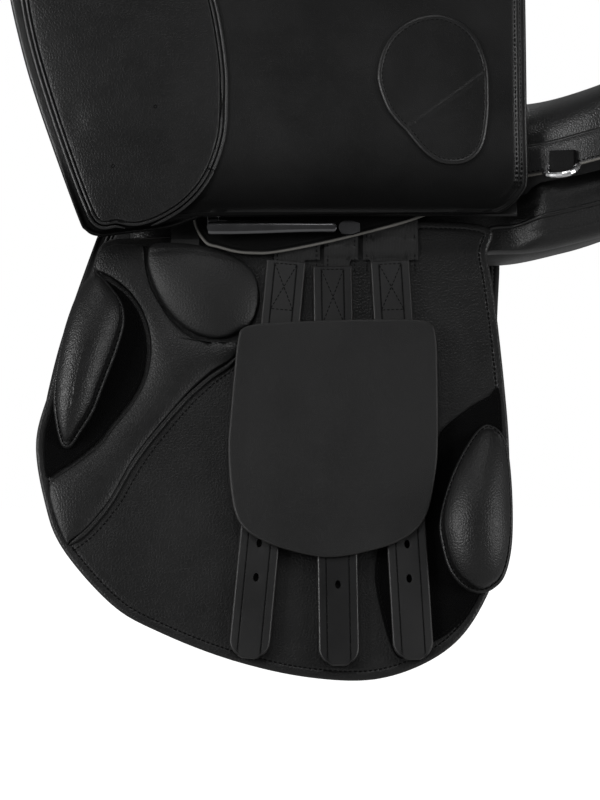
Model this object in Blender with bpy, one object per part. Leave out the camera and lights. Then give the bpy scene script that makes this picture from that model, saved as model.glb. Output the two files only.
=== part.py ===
"""All-purpose saddle, near side with its flap turned up.

Frame: +X runs to the cantle, -X to the pommel, +Z is up, -Y is the near (left) side.
The origin is the middle of the seat that the two panels make on the back they rest on.
Flat leather pieces are drawn in the plane they lie in: x along the saddle, s down the
plane from its top line, h out of it. A section across the saddle is drawn as w, the
distance out from the middle plane, and z.
"""

import math

import bmesh
import bpy
import numpy as np
from mathutils import Matrix, Vector

MM = 0.001

# Whole saddle
SEAT_FRONT = -0.166
SEAT_LENGTH = 0.445
SEAT_REAR = SEAT_FRONT + SEAT_LENGTH
GAP = 0.0003
SHELL_GAP = 0.0007

# Seat: half width, height of the middle line and height of the lower edge
SEAT_HALF_WIDTH = 0.130
SEAT_WAIST_HALF = 0.098
POMMEL_HEIGHT = 0.158
SEAT_LOW_HEIGHT = 0.118
CANTLE_HEIGHT = 0.202
SEAT_EDGE_HEIGHT = 0.083
SEAT_EDGE_RISE = 0.066
SEAT_DISH = 0.014
SEAT_FOAM = 0.0135
WEB_THICKNESS = 0.0014
TREE_THICKNESS = 0.0070
TREE_REAR_SETBACK = 0.022
WEB_FRONT_SETBACK = 0.050
WEB_REAR_SETBACK = 0.080

# Sweat flap plane
SPLAY = math.radians(17.0)
SWEAT_W = 0.100
SWEAT_THICKNESS = 0.0045
PATCH_THICKNESS = 0.0015
KNEE_PAD_THICKNESS = 0.0060
BLOCK_LIFT = 0.0004
KNEE_BLOCK_HEIGHT = 0.0240
THIGH_BLOCK_HEIGHT = 0.0290
POCKET_HEIGHT = 0.0110
SHIELD_THICKNESS = 0.0025

# Girth straps and buckle guard
STRAP_WIDTH = 0.0275
STRAP_THICKNESS = 0.0040
STRAP_LENGTH = 0.286
STRAP_TOP = 0.0015
STRAP_CLEARANCE = 0.0003
STRAP_HOLE_PITCH = 0.0240
STRAP_HOLE_WIDTH = 0.0038
STRAP_HOLE_LENGTH = 0.0062
STRAP_HOLES = 5
STRAP_HOLE_START = 0.056
STRAP_TONGUE = 0.012
STRAP_TIP_TURN = 75.0
GUARD_THICKNESS = 0.0030
KEEPER_THICKNESS = 0.0010
KEEPER_HEIGHT = 0.012
GUARD_TRAVEL = 0.010
KEEPER_PLACES = (0.066, 0.150)
GIRTH_WEB_THICKNESS = 0.0018
GIRTH_WEB_TOP = 0.083
GIRTH_WEB_END = 0.010

# Outer flap and skirt
FLAP_HINGE_W = 0.117
FLAP_HINGE_Z = 0.035
FLAP_THICKNESS = 0.0045
FLAP_DOWN = math.radians(27.0)
HEAD_TILT = math.radians(25.0)
NEAR_FLAP_UP = math.radians(188.0)
FLAP_PAD_THICKNESS = 0.0050
SKIRT_HINGE_W = 0.0985
SKIRT_HINGE_Z = 0.088
SKIRT_THICKNESS = 0.0032
HEAD_HEIGHT = 0.0455
HEAD_THICKNESS = 0.0030
HEAD_CLEARANCE = 0.00035
HEAD_END = 0.0002
HEAD_FRONT = -0.120
HEAD_REAR = 0.084

# Metal
ARCH_WIDTH = 0.020
ARCH_X = -0.150
POINT_END = 0.031
ARCH_THICKNESS = 0.0030
BAR_THICKNESS = 0.0050
BAR_HEIGHT = 0.0120
BAR_LENGTH = 0.092
BAR_FRONT = -0.134
BAR_TOP = 0.026
BAR_ARM = 0.010
BRACKET_TOP = 0.081
BRACKET_LOW = 0.036
BAR_SLOT = 0.0065
BRACKET_THICKNESS = 0.0030
CATCH_LENGTH = 0.015
CATCH_HEIGHT = 0.0100
CATCH_THICKNESS = 0.0024
CATCH_CLEARANCE = 0.0005
DEE_WIDTH = 0.0275
DEE_DROP = 0.017
DEE_WIRE = 0.0040
CHAPE_WIDTH = 0.018
CHAPE_DEPTH = 0.0076
CHAPE_HEIGHT = 0.0150
CHAPE_DROP = 0.0020
CHAPE_X = SEAT_FRONT + 0.639326 * SEAT_LENGTH
DEE_CLEARANCE = 0.0004
DEE_OUT = math.radians(62.0)
STUD_X = SEAT_FRONT + 0.689888 * SEAT_LENGTH
NAIL_X = -0.150
STUD_RADIUS = 0.0055
STUD_HEIGHT = 0.0030

# Panels
GULLET_HALF = 0.034
PANEL_HEIGHT = 0.052
PANEL_OUTER = SEAT_HALF_WIDTH - 0.021
PANEL_FRONT = -0.190
PANEL_REAR = SEAT_REAR - 0.007
FRONT_PANEL_THICKNESS = 0.030
PANEL_CLEARANCE = 0.0006
BAND_THICKNESS = 0.0030
BAND_HEIGHT = 0.022
BAND_FRONT = SEAT_FRONT + 0.570787 * SEAT_LENGTH
FACING_THICKNESS = 0.008
CANTLE_FACING = 0.0040

NEAR = -1
OFF = 1
SIDES = ((NEAR, "near"), (OFF, "off"))

for old in list(bpy.data.objects):
    bpy.data.objects.remove(old, do_unlink=True)

parts = bpy.data.collections.new("all_purpose_saddle")
bpy.context.scene.collection.children.link(parts)
cutters = bpy.data.collections.new("cutters")
bpy.context.scene.collection.children.link(cutters)

LEATHER = ((0.012, 0.012, 0.013), 0.45, 0.0)
SMOOTH = ((0.016, 0.016, 0.017), 0.38, 0.0)
SEAT_LEATHER = ((0.011, 0.011, 0.012), 0.32, 0.0)
MATTE = ((0.008, 0.008, 0.009), 0.95, 0.0)
WEBBING = ((0.03, 0.03, 0.032), 0.85, 0.0)
TREE = ((0.10, 0.10, 0.10), 0.55, 0.0)
DARK_STEEL = ((0.02, 0.02, 0.021), 0.5, 0.0)
STEEL = ((0.35, 0.35, 0.36), 0.40, 1.0)
CHROME = ((0.75, 0.75, 0.76), 0.12, 1.0)
SHIELD = ((0.022, 0.021, 0.020), 0.55, 0.0)


def paint(obj, look):
    colour, roughness, metallic = look
    made = bpy.data.materials.new(obj.name + "_material")
    made.use_nodes = True
    shader = made.node_tree.nodes["Principled BSDF"]
    shader.inputs["Base Color"].default_value = (*colour, 1.0)
    shader.inputs["Roughness"].default_value = roughness
    shader.inputs["Metallic"].default_value = metallic
    made.diffuse_color = (*colour, 1.0)
    obj.data.materials.append(made)


def smoothed(table, x):
    """Value at x of a smooth curve through (x, value) pairs, level beyond the ends."""
    xs = np.array([p[0] for p in table], float)
    ys = np.array([p[1] for p in table], float)
    x = min(max(x, xs[0]), xs[-1])
    rates = np.diff(ys) / np.diff(xs)
    slopes = [rates[0]]
    for before, after in zip(rates[:-1], rates[1:]):
        level = before * after <= 0
        slopes.append(0.0 if level else 2 * before * after / (before + after))
    slopes.append(rates[-1])
    i = int(min(max(np.searchsorted(xs, x) - 1, 0), len(xs) - 2))
    step = xs[i + 1] - xs[i]
    t = (x - xs[i]) / step
    a = (1 + 2 * t) * (1 - t) ** 2 * ys[i]
    b = t * (1 - t) ** 2 * step * slopes[i]
    c = t * t * (3 - 2 * t) * ys[i + 1]
    d = t * t * (t - 1) * step * slopes[i + 1]
    return float(a + b + c + d)


def blend(t):
    """Smooth step from 0 to 1."""
    t = min(max(t, 0.0), 1.0)
    return t * t * (3 - 2 * t)


def loop_through(points, per=4):
    """Closed smooth loop through the points, given in millimetres."""
    p = np.array(points, float) * MM
    out = []
    n = len(p)
    for i in range(n):
        a, b, c, d = p[i - 1], p[i], p[(i + 1) % n], p[(i + 2) % n]
        for k in range(per):
            t = k / per
            q = 2 * b + (c - a) * t + (2 * a - 5 * b + 4 * c - d) * t * t
            q = q + (3 * b - a - 3 * c + d) * t ** 3
            out.append(tuple(q / 2))
    return out


def path_through(points, per=4):
    """Open smooth path through the points, in the points' own unit."""
    p = np.array(points, float)
    p = np.vstack([2 * p[0] - p[1], p, 2 * p[-1] - p[-2]])
    out = []
    for i in range(1, len(p) - 2):
        a, b, c, d = p[i - 1], p[i], p[i + 1], p[i + 2]
        for k in range(per):
            t = k / per
            q = 2 * b + (c - a) * t + (2 * a - 5 * b + 4 * c - d) * t * t
            q = q + (3 * b - a - 3 * c + d) * t ** 3
            out.append(tuple(q / 2))
    out.append(tuple(p[-2]))
    return out


def add_mesh(name, verts, faces, look, parent=None):
    mesh = bpy.data.meshes.new(name)
    bm = bmesh.new()
    made = [bm.verts.new(v) for v in verts]
    for face in faces:
        bm.faces.new([made[i] for i in face])
    bmesh.ops.recalc_face_normals(bm, faces=bm.faces)
    bm.to_mesh(mesh)
    bm.free()
    obj = bpy.data.objects.new(name, mesh)
    parts.objects.link(obj)
    obj.parent = parent
    mesh.shade_smooth()
    mesh.set_sharp_from_angle(angle=math.radians(40))
    paint(obj, look)
    return obj


def loft(name, rings, look, parent=None):
    """Closed solid through rings of equally many points, capped at both ends."""
    n = len(rings[0])
    verts = [tuple(v) for ring in rings for v in ring]
    faces = []
    for i in range(len(rings) - 1):
        for k in range(n):
            j = (k + 1) % n
            faces.append((i * n + k, i * n + j, (i + 1) * n + j, (i + 1) * n + k))
    faces.append(tuple(range(n)))
    faces.append(tuple(range((len(rings) - 1) * n, len(rings) * n)))
    return add_mesh(name, verts, faces, look, parent)


def plane_frame(name, side, x, w, z, tilt):
    """Empty whose local axes are x, s (down on the off side, up on the near side) and h."""
    empty = bpy.data.objects.new(name, None)
    parts.objects.link(empty)
    empty.empty_display_size = 0.02
    empty.location = (x, side * w, z)
    empty.rotation_euler = (-side * (math.pi / 2 - tilt), 0.0, 0.0)
    return empty


def on_plane(w, z, tilt, s, h):
    """Section point w, z at s down and h out of a plane that starts at w, z."""
    return (
        w + s * math.sin(tilt) + h * math.cos(tilt),
        z - s * math.cos(tilt) + h * math.sin(tilt),
    )


def plate(name, side, outline, h0, h1, look, frame, x0=0.0, rounding=0.0):
    """Flat leather piece between h0 and h1, from a filled outline of (x, s) points."""
    data = bpy.data.curves.new(name, "CURVE")
    data.dimensions = "2D"
    data.fill_mode = "BOTH"
    data.extrude = (h1 - h0) / 2 - rounding
    data.bevel_depth = rounding
    data.bevel_resolution = 0
    data.offset = -rounding
    spline = data.splines.new("POLY")
    spline.points.add(len(outline) - 1)
    spline.use_cyclic_u = True
    for point, (x, s) in zip(spline.points, outline):
        point.co = (x - x0, side * s, 0.0, 1.0)
    obj = bpy.data.objects.new(name, data)
    parts.objects.link(obj)
    obj.parent = frame
    obj.location = (0.0, 0.0, (h0 + h1) / 2)
    paint(obj, look)
    return obj


def dome(name, side, outline, centre, rings, look, frame, x0=0.0):
    """Stuffed piece: the outline drawn in towards a centre as it rises.

    rings holds (share of the outline, height) from the base up; the last one closes."""
    cx, cs = centre[0] * MM, centre[1] * MM
    n = len(outline)
    verts = []
    for share, h in rings:
        for x, s in outline:
            verts.append((cx + (x - cx) * share - x0, side * (cs + (s - cs) * share), h))
    faces = [tuple(range(n))]
    for i in range(len(rings) - 1):
        for k in range(n):
            j = (k + 1) % n
            faces.append((i * n + k, i * n + j, (i + 1) * n + j, (i + 1) * n + k))
    top = len(verts)
    verts.append((cx - x0, side * cs, rings[-1][1]))
    last = (len(rings) - 1) * n
    for k in range(n):
        faces.append((last + k, last + (k + 1) % n, top))
    return add_mesh(name, verts, faces, look, frame)


def box_mesh(x0, x1, y0, y1, z0, z1):
    mesh = bpy.data.meshes.new("box")
    bm = bmesh.new()
    bmesh.ops.create_cube(bm, size=1.0)
    for v in bm.verts:
        v.co.x = x0 if v.co.x < 0 else x1
        v.co.y = y0 if v.co.y < 0 else y1
        v.co.z = z0 if v.co.z < 0 else z1
    bm.to_mesh(mesh)
    bm.free()
    return mesh


def box(name, x0, x1, y0, y1, z0, z1, look=None, frame=None):
    obj = bpy.data.objects.new(name, box_mesh(x0, x1, y0, y1, z0, z1))
    obj.parent = frame
    if look is None:
        cutters.objects.link(obj)
        obj.hide_render = True
        obj.display_type = "WIRE"
    else:
        parts.objects.link(obj)
        paint(obj, look)
    return obj


def joined(obj, other, operation):
    """Boolean of obj with other, which moves to the cutters."""
    modifier = obj.modifiers.new(operation.lower(), "BOOLEAN")
    modifier.operation = operation
    modifier.object = other
    modifier.solver = "EXACT"
    return obj


def as_mesh(obj):
    """The same object as a welded mesh, so that a Boolean can take it."""
    bpy.context.view_layer.update()
    graph = bpy.context.evaluated_depsgraph_get()
    mesh = bpy.data.meshes.new_from_object(obj.evaluated_get(graph))
    bm = bmesh.new()
    bm.from_mesh(mesh)
    bmesh.ops.remove_doubles(bm, verts=bm.verts, dist=0.00001)
    bmesh.ops.recalc_face_normals(bm, faces=bm.faces)
    bm.to_mesh(mesh)
    bm.free()
    name = obj.name
    made = bpy.data.objects.new(name + "_solid", mesh)
    made.parent = obj.parent
    made.location = obj.location
    made.rotation_euler = obj.rotation_euler
    for holder in obj.users_collection:
        holder.objects.link(made)
    bpy.data.objects.remove(obj, do_unlink=True)
    made.name = name
    return made


def share(x):
    """Place along the seat: 0 at the pommel nails, 1 at the middle of the cantle."""
    return (x - SEAT_FRONT) / SEAT_LENGTH


def seat_half(x):
    wide = SEAT_HALF_WIDTH - SEAT_WAIST_HALF
    table = [
        (0.0, SEAT_WAIST_HALF - 0.018),
        (0.12, SEAT_WAIST_HALF - 0.006),
        (0.35, SEAT_WAIST_HALF),
        (0.575, SEAT_WAIST_HALF + 0.02 * wide),
        (0.69, SEAT_WAIST_HALF + 0.62 * wide),
        (0.80, SEAT_HALF_WIDTH),
        (0.89, 0.94 * SEAT_HALF_WIDTH),
        (0.955, 0.79 * SEAT_HALF_WIDTH),
        (0.985, 0.61 * SEAT_HALF_WIDTH),
        (1.0, 0.42 * SEAT_HALF_WIDTH),
    ]
    return smoothed(table, share(x))


def seat_middle(x):
    front = POMMEL_HEIGHT - SEAT_LOW_HEIGHT
    rear = CANTLE_HEIGHT - SEAT_LOW_HEIGHT
    table = [
        (0.0, SEAT_LOW_HEIGHT + front),
        (0.15, SEAT_LOW_HEIGHT + 0.45 * front),
        (0.30, SEAT_LOW_HEIGHT + 0.10 * front),
        (0.45, SEAT_LOW_HEIGHT),
        (0.60, SEAT_LOW_HEIGHT + 0.05 * rear),
        (0.72, SEAT_LOW_HEIGHT + 0.20 * rear),
        (0.83, SEAT_LOW_HEIGHT + 0.45 * rear),
        (0.92, SEAT_LOW_HEIGHT + 0.74 * rear),
        (1.0, CANTLE_HEIGHT),
    ]
    return smoothed(table, share(x))


def seat_edge(x):
    table = [
        (0.0, SEAT_EDGE_HEIGHT + 0.012),
        (0.12, SEAT_EDGE_HEIGHT),
        (0.56, SEAT_EDGE_HEIGHT),
        (0.683, SEAT_EDGE_HEIGHT + 0.15 * SEAT_EDGE_RISE),
        (0.80, SEAT_EDGE_HEIGHT + 0.42 * SEAT_EDGE_RISE),
        (0.90, SEAT_EDGE_HEIGHT + 0.72 * SEAT_EDGE_RISE),
        (1.0, SEAT_EDGE_HEIGHT + SEAT_EDGE_RISE),
    ]
    return smoothed(table, share(x))


def seat_peak(x):
    """How far the section is peaked (the twist) or full (under the rider)."""
    return smoothed([(0.0, 1.35), (0.35, 1.20), (0.575, 0.80), (0.72, 0.52), (1.0, 0.40)], share(x))


def seat_point(x, turn, inset):
    """Point y, z of the seat's section, turn 0 at the middle and a quarter at its edge."""
    half = seat_half(x) - inset
    low = seat_edge(x)
    rise = seat_middle(x) - 1.15 * inset - low
    rise += SEAT_DISH * blend((share(x) - 0.55) / 0.35) * math.sin(turn) ** 2
    return half * math.sin(turn), low + rise * max(math.cos(turn), 0.0) ** seat_peak(x)


def seat_places(steps):
    """Places along the seat, closer together towards the cantle."""
    places = []
    for i in range(steps + 1):
        t = i / steps
        places.append(SEAT_FRONT + SEAT_LENGTH * (0.5 * t + 0.5 * math.sin(0.5 * math.pi * t)))
    return places


SEAT_PLACES = seat_places(22)
TURN_STEPS = 6


def seat_shell(name, x0, x1, outer, inner, reach, look):
    """Layer of the seat between two insets, over the turns within reach, from x0 to x1."""
    rings = []
    turns = [0.5 * math.pi * k / TURN_STEPS for k in range(-TURN_STEPS, TURN_STEPS + 1)]
    turns = [turn for turn in turns if abs(turn) <= reach]
    for x in SEAT_PLACES:
        if x0 - GAP <= x <= x1 + GAP:
            ring = [(x, *seat_point(x, turn, outer)) for turn in turns]
            ring += [(x, *seat_point(x, turn, inner)) for turn in reversed(turns)]
            rings.append(ring)
    return loft(name, rings, look)


# Seat, webbing and tree lie in one another like shells
ALL_ROUND = math.radians(91)
MIDDLE_STRIP = math.radians(31)
web_outer = SEAT_FOAM + SHELL_GAP
web_inner = web_outer + WEB_THICKNESS
tree_outer = web_inner + SHELL_GAP
tree_inner = tree_outer + TREE_THICKNESS
seat_shell("seat_cushion", SEAT_FRONT, SEAT_REAR, 0.0, SEAT_FOAM, ALL_ROUND, SEAT_LEATHER)
seat_shell(
    "seat_webbing", SEAT_FRONT + WEB_FRONT_SETBACK, SEAT_REAR - WEB_REAR_SETBACK,
    web_outer, web_inner, MIDDLE_STRIP, WEBBING,
)
seat_shell(
    "tree_body", SEAT_FRONT, SEAT_REAR - TREE_REAR_SETBACK, tree_outer, tree_inner,
    ALL_ROUND, TREE,
)

# Steel head: a bent strip under the tree whose two points go down into the pockets
head_z = seat_point(ARCH_X + ARCH_WIDTH / 2, 0.0, tree_inner)[1] - ARCH_THICKNESS / 2 - 2 * GAP
ARCH_LIFT = SWEAT_THICKNESS + GAP + ARCH_THICKNESS / 2
low_point = on_plane(SWEAT_W, 0.0, SPLAY, POINT_END, ARCH_LIFT)
mid_point = on_plane(SWEAT_W, 0.0, SPLAY, -0.021, ARCH_LIFT - 0.0006)
leg_point = on_plane(SWEAT_W, 0.0, SPLAY, -0.006, ARCH_LIFT)
half_path = [
    (0.0, head_z),
    (0.020, head_z - 0.005),
    (0.038, head_z - 0.018),
    (0.056, head_z - 0.039),
    (0.078, head_z - 0.066),
    mid_point,
    leg_point,
    low_point,
]
smooth_half = path_through(half_path, 3)
strip = [(-w, z) for w, z in reversed(smooth_half[1:])] + smooth_half
rings = []
for i, (w, z) in enumerate(strip):
    before = strip[max(i - 1, 0)]
    after = strip[min(i + 1, len(strip) - 1)]
    along = Vector((after[0] - before[0], after[1] - before[1])).normalized()
    nw, nz = -along.y * ARCH_THICKNESS / 2, along.x * ARCH_THICKNESS / 2
    x0, x1 = ARCH_X - ARCH_WIDTH / 2, ARCH_X + ARCH_WIDTH / 2
    rings.append([(x0, w - nw, z - nz), (x1, w - nw, z - nz), (x1, w + nw, z + nz), (x0, w + nw, z + nz)])
loft("tree_front_arch", rings, DARK_STEEL)

# Pommel facing: closes the front of the seat and leaves the arch over the withers open
face_outer = [seat_point(SEAT_FRONT, math.radians(15 * k), 0.0) for k in range(-6, 7)]
facing_low = 0.060
leg_out = face_outer[-1][0] + 0.006
outline = list(face_outer) + [
    (leg_out, 0.075), (leg_out + 0.003, facing_low), (leg_out - 0.013, facing_low - 0.002),
    (0.052, 0.088), (0.034, 0.104), (0.012, 0.112),
    (-0.012, 0.112), (-0.034, 0.104), (-0.052, 0.088),
    (-leg_out + 0.013, facing_low - 0.002), (-leg_out - 0.003, facing_low), (-leg_out, 0.075),
]
front_x = SEAT_FRONT - GAP - FACING_THICKNESS
loft(
    "pommel_facing",
    [[(x, y, z) for y, z in outline] for x in (front_x, SEAT_FRONT - GAP)],
    LEATHER,
)

# Cantle facing: closes the back of the seat above the band
inner_face = [seat_point(SEAT_REAR, math.radians(15 * k), 0.0008) for k in range(-6, 7)]
low_edge = inner_face[0][1]
rings = []
for x, size in ((SEAT_REAR + GAP, 1.0), (SEAT_REAR + GAP + 0.6 * CANTLE_FACING, 1.0),
                (SEAT_REAR + GAP + CANTLE_FACING, 0.93)):
    rings.append([(x, y * size, low_edge + (z - low_edge) * size) for y, z in inner_face])
loft("cantle_facing", rings, SEAT_LEATHER)

# Leather band under the seat's edge, round the cantle from side to side
stations = []
for i in range(17):
    t = math.sin(0.5 * math.pi * i / 16)
    stations.append(BAND_FRONT + (SEAT_REAR - BAND_FRONT) * t)
plan = [(x, seat_half(x)) for x in stations]
plan = [(x, -w) for x, w in plan] + [(x, w) for x, w in reversed(plan)]
rings = []
for i, (x, y) in enumerate(plan):
    before = plan[max(i - 1, 0)]
    after = plan[min(i + 1, len(plan) - 1)]
    along = Vector((after[0] - before[0], after[1] - before[1])).normalized()
    nx, ny = along.y, -along.x
    a = (x - 0.0005 * nx, y - 0.0005 * ny)
    b = (x - (0.0005 + BAND_THICKNESS) * nx, y - (0.0005 + BAND_THICKNESS) * ny)
    high_a = seat_edge(a[0]) - 3 * GAP
    high_b = seat_edge(b[0]) - 3 * GAP
    low = min(high_a, high_b) - BAND_HEIGHT
    rings.append([(*a, low), (*a, high_a), (*b, high_b), (*b, low)])
loft("seat_band", rings, LEATHER)


def panel_section(x, count=16):
    """Closed section (w, z) of one panel: on edge along the flap in front, flat behind."""
    length = PANEL_REAR - PANEL_FRONT
    near_front = (x - PANEL_FRONT) / 0.050
    near_rear = (PANEL_REAR - x) / 0.045
    end = min(near_front, near_rear, 1.0)
    fullness = 0.28 + 0.72 * math.sqrt(max(1 - (1 - max(end, 0.0)) ** 2, 0.0))
    thick = FRONT_PANEL_THICKNESS
    s_low = smoothed([(-0.19, 0.030), (-0.14, 0.050), (-0.05, 0.035), (0.08, 0.020)], x)
    s_high = -0.050
    centre_h = -(PANEL_CLEARANCE + thick / 2)
    cw, cz = on_plane(SWEAT_W, 0.0, SPLAY, (s_low + s_high) / 2, centre_h)
    half_long = (s_low - s_high) / 2
    turn = SPLAY - math.pi / 2
    outer = PANEL_OUTER - 0.040 * blend((x - 0.19) / (length * 0.20))
    rear_mid = seat_edge(x) - BAND_HEIGHT - 0.0008 - PANEL_HEIGHT / 2
    t = blend((x + 0.030) / 0.105)
    cw = cw + ((GULLET_HALF + outer) / 2 - cw) * t
    cz = cz + (rear_mid - cz) * t
    half_long = half_long + ((outer - GULLET_HALF) / 2 - half_long) * t
    half_thick = thick / 2 + (PANEL_HEIGHT / 2 - thick / 2) * t
    turn = turn + (math.radians(-4) - turn) * t
    half_long *= 0.5 + 0.5 * fullness
    half_thick *= fullness
    points = []
    keep = 1 - blend((x - 0.080) / 0.025)
    for k in range(count):
        a = 2 * math.pi * k / count
        ca, sa = math.cos(a), math.sin(a)
        u = half_long * math.copysign(abs(ca) ** 0.62, ca)
        v = half_thick * math.copysign(abs(sa) ** 0.62, sa)
        w = cw + u * math.cos(turn) - v * math.sin(turn)
        z = cz + u * math.sin(turn) + v * math.cos(turn)
        h = (w - SWEAT_W) * math.cos(SPLAY) + z * math.sin(SPLAY)
        over = max(h + PANEL_CLEARANCE, 0.0) * keep
        points.append((w - over * math.cos(SPLAY), z - over * math.sin(SPLAY)))
    return points


for side, label in SIDES:
    rings = []
    steps = 22
    for i in range(steps + 1):
        t = i / steps
        t = t - 0.11 * math.sin(2 * math.pi * t)
        x = PANEL_FRONT + (PANEL_REAR - PANEL_FRONT) * t
        rings.append([(x, side * w, z) for w, z in panel_section(x)])
    loft("panel_" + label, rings, LEATHER)


# Outlines in the sweat flap's plane, x and s in millimetres
SWEAT_OUTLINE = [
    (-206, -16), (-217, 9), (-230, 43), (-243, 92), (-252, 132), (-245, 175), (-232, 208),
    (-198, 247), (-166, 266), (-115, 286), (-61, 298), (-13, 298), (30, 279), (56, 246),
    (74, 195), (76, 140), (74, 94), (69, 33), (64, -4), (58, -29), (-60, -30), (-122, -28),
    (-132, -17), (-170, -17),
]
KNEE_PAD_OUTLINE = [
    (-187, 12), (-181, 28), (-176, 42), (-173, 62), (-176, 85), (-185, 106), (-201, 127),
    (-219, 145), (-236, 158), (-240, 170), (-236, 186), (-226, 202), (-210, 190),
    (-198, 174), (-186, 150), (-172, 130), (-157, 112), (-143, 97), (-128, 84), (-117, 74),
    (-116, 66), (-128, 64), (-148, 60), (-162, 48), (-172, 33), (-180, 12),
]
FRONT_PATCH_OUTLINE = [
    (-214, 10), (-205, 14), (-193, 26), (-184, 40), (-180, 61), (-183, 83), (-192, 102),
    (-207, 122), (-223, 140), (-238, 151), (-244, 155), (-246, 130), (-242, 110), (-231, 65),
    (-222, 35),
]
REAR_PATCH_OUTLINE = [
    (70, 96), (62, 100), (50, 107), (35, 119), (28, 127), (8, 160), (-10, 195), (-18, 222),
    (-15, 250), (-4, 284), (12, 278), (34, 266), (53, 240), (68, 195), (71, 140),
]
KNEE_BLOCK_OUTLINE = [
    (-217, 12), (-225, 24), (-232, 44), (-237, 66), (-240, 90), (-240, 110), (-235, 134),
    (-228, 138), (-220, 126), (-212, 112), (-205, 92), (-197, 69), (-192, 50), (-192, 38),
    (-195, 29), (-203, 18), (-211, 10),
]
THIGH_BLOCK_OUTLINE = [
    (62, 121), (70, 126), (75, 140), (77, 172), (76, 205), (71, 227), (63, 237), (52, 241),
    (41, 236), (32, 224), (27, 205), (26, 190), (30, 172), (38, 151), (48, 133), (56, 123),
]
POCKET_OUTLINE = [
    (-171, -13), (-143, -12), (-118, -3), (-106, 12), (-104, 35), (-110, 52), (-125, 57),
    (-141, 54), (-154, 44), (-165, 27), (-173, 8), (-175, -5),
]
SHIELD_OUTLINE = [
    (-144, -27), (-136, -12), (-126, -8), (-113, -4.5), (-101, -3.5), (-88, -4), (-62, -9),
    (-37, -15), (-11, -22), (9, -28), (28, -36), (38, -44), (30, -50), (-50, -50),
    (-130, -50), (-142, -44),
]
GUARD_OUTLINE = [
    (-109, 53), (-96, 49.5), (-59, 47.5), (-25, 46.5), (8, 46.5), (22, 49), (26, 60),
    (26.5, 88), (26, 135), (24, 158), (19, 183), (11, 197), (-4, 207), (-27, 214),
    (-46, 217), (-61, 216), (-84, 210), (-101, 202), (-111, 192), (-116, 174), (-118.5, 141),
    (-117, 115), (-114, 77), (-112, 60),
]
# Each girth strap: middle of its top and how far it starts below the first one, both in
# millimetres, and its lean in degrees
STRAPS = (("front", -78.3, 0.0, 5.2), ("middle", -45.9, 4.0, -0.6), ("rear", -5.5, 0.0, -2.6))
GIRTH_WEBS = (("front", -87.0, -54.5), ("middle", -51.5, -27.5), ("rear", -24.0, 15.0))

# Heights of the layers over the panel, out of the sweat flap's plane
patch_low = SWEAT_THICKNESS + GAP
patch_high = patch_low + PATCH_THICKNESS
web_low = SWEAT_THICKNESS + GAP
web_high = web_low + GIRTH_WEB_THICKNESS
keeper_low = patch_high + GAP
strap_low = keeper_low + KEEPER_THICKNESS + STRAP_CLEARANCE
strap_high = strap_low + STRAP_THICKNESS
guard_low = strap_high + STRAP_CLEARANCE
guard_high = guard_low + GUARD_THICKNESS
arch_high = ARCH_LIFT + ARCH_THICKNESS / 2
shield_low = max(web_high, arch_high) + 2 * GAP
shield_high = shield_low + SHIELD_THICKNESS
bracket_low = shield_high + GAP
bracket_high = bracket_low + BRACKET_THICKNESS

sweat_frames = {}
for side, label in SIDES:
    sweat_frames[side] = plane_frame("sweat_plane_" + label, side, 0.0, SWEAT_W, 0.0, SPLAY)

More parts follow.
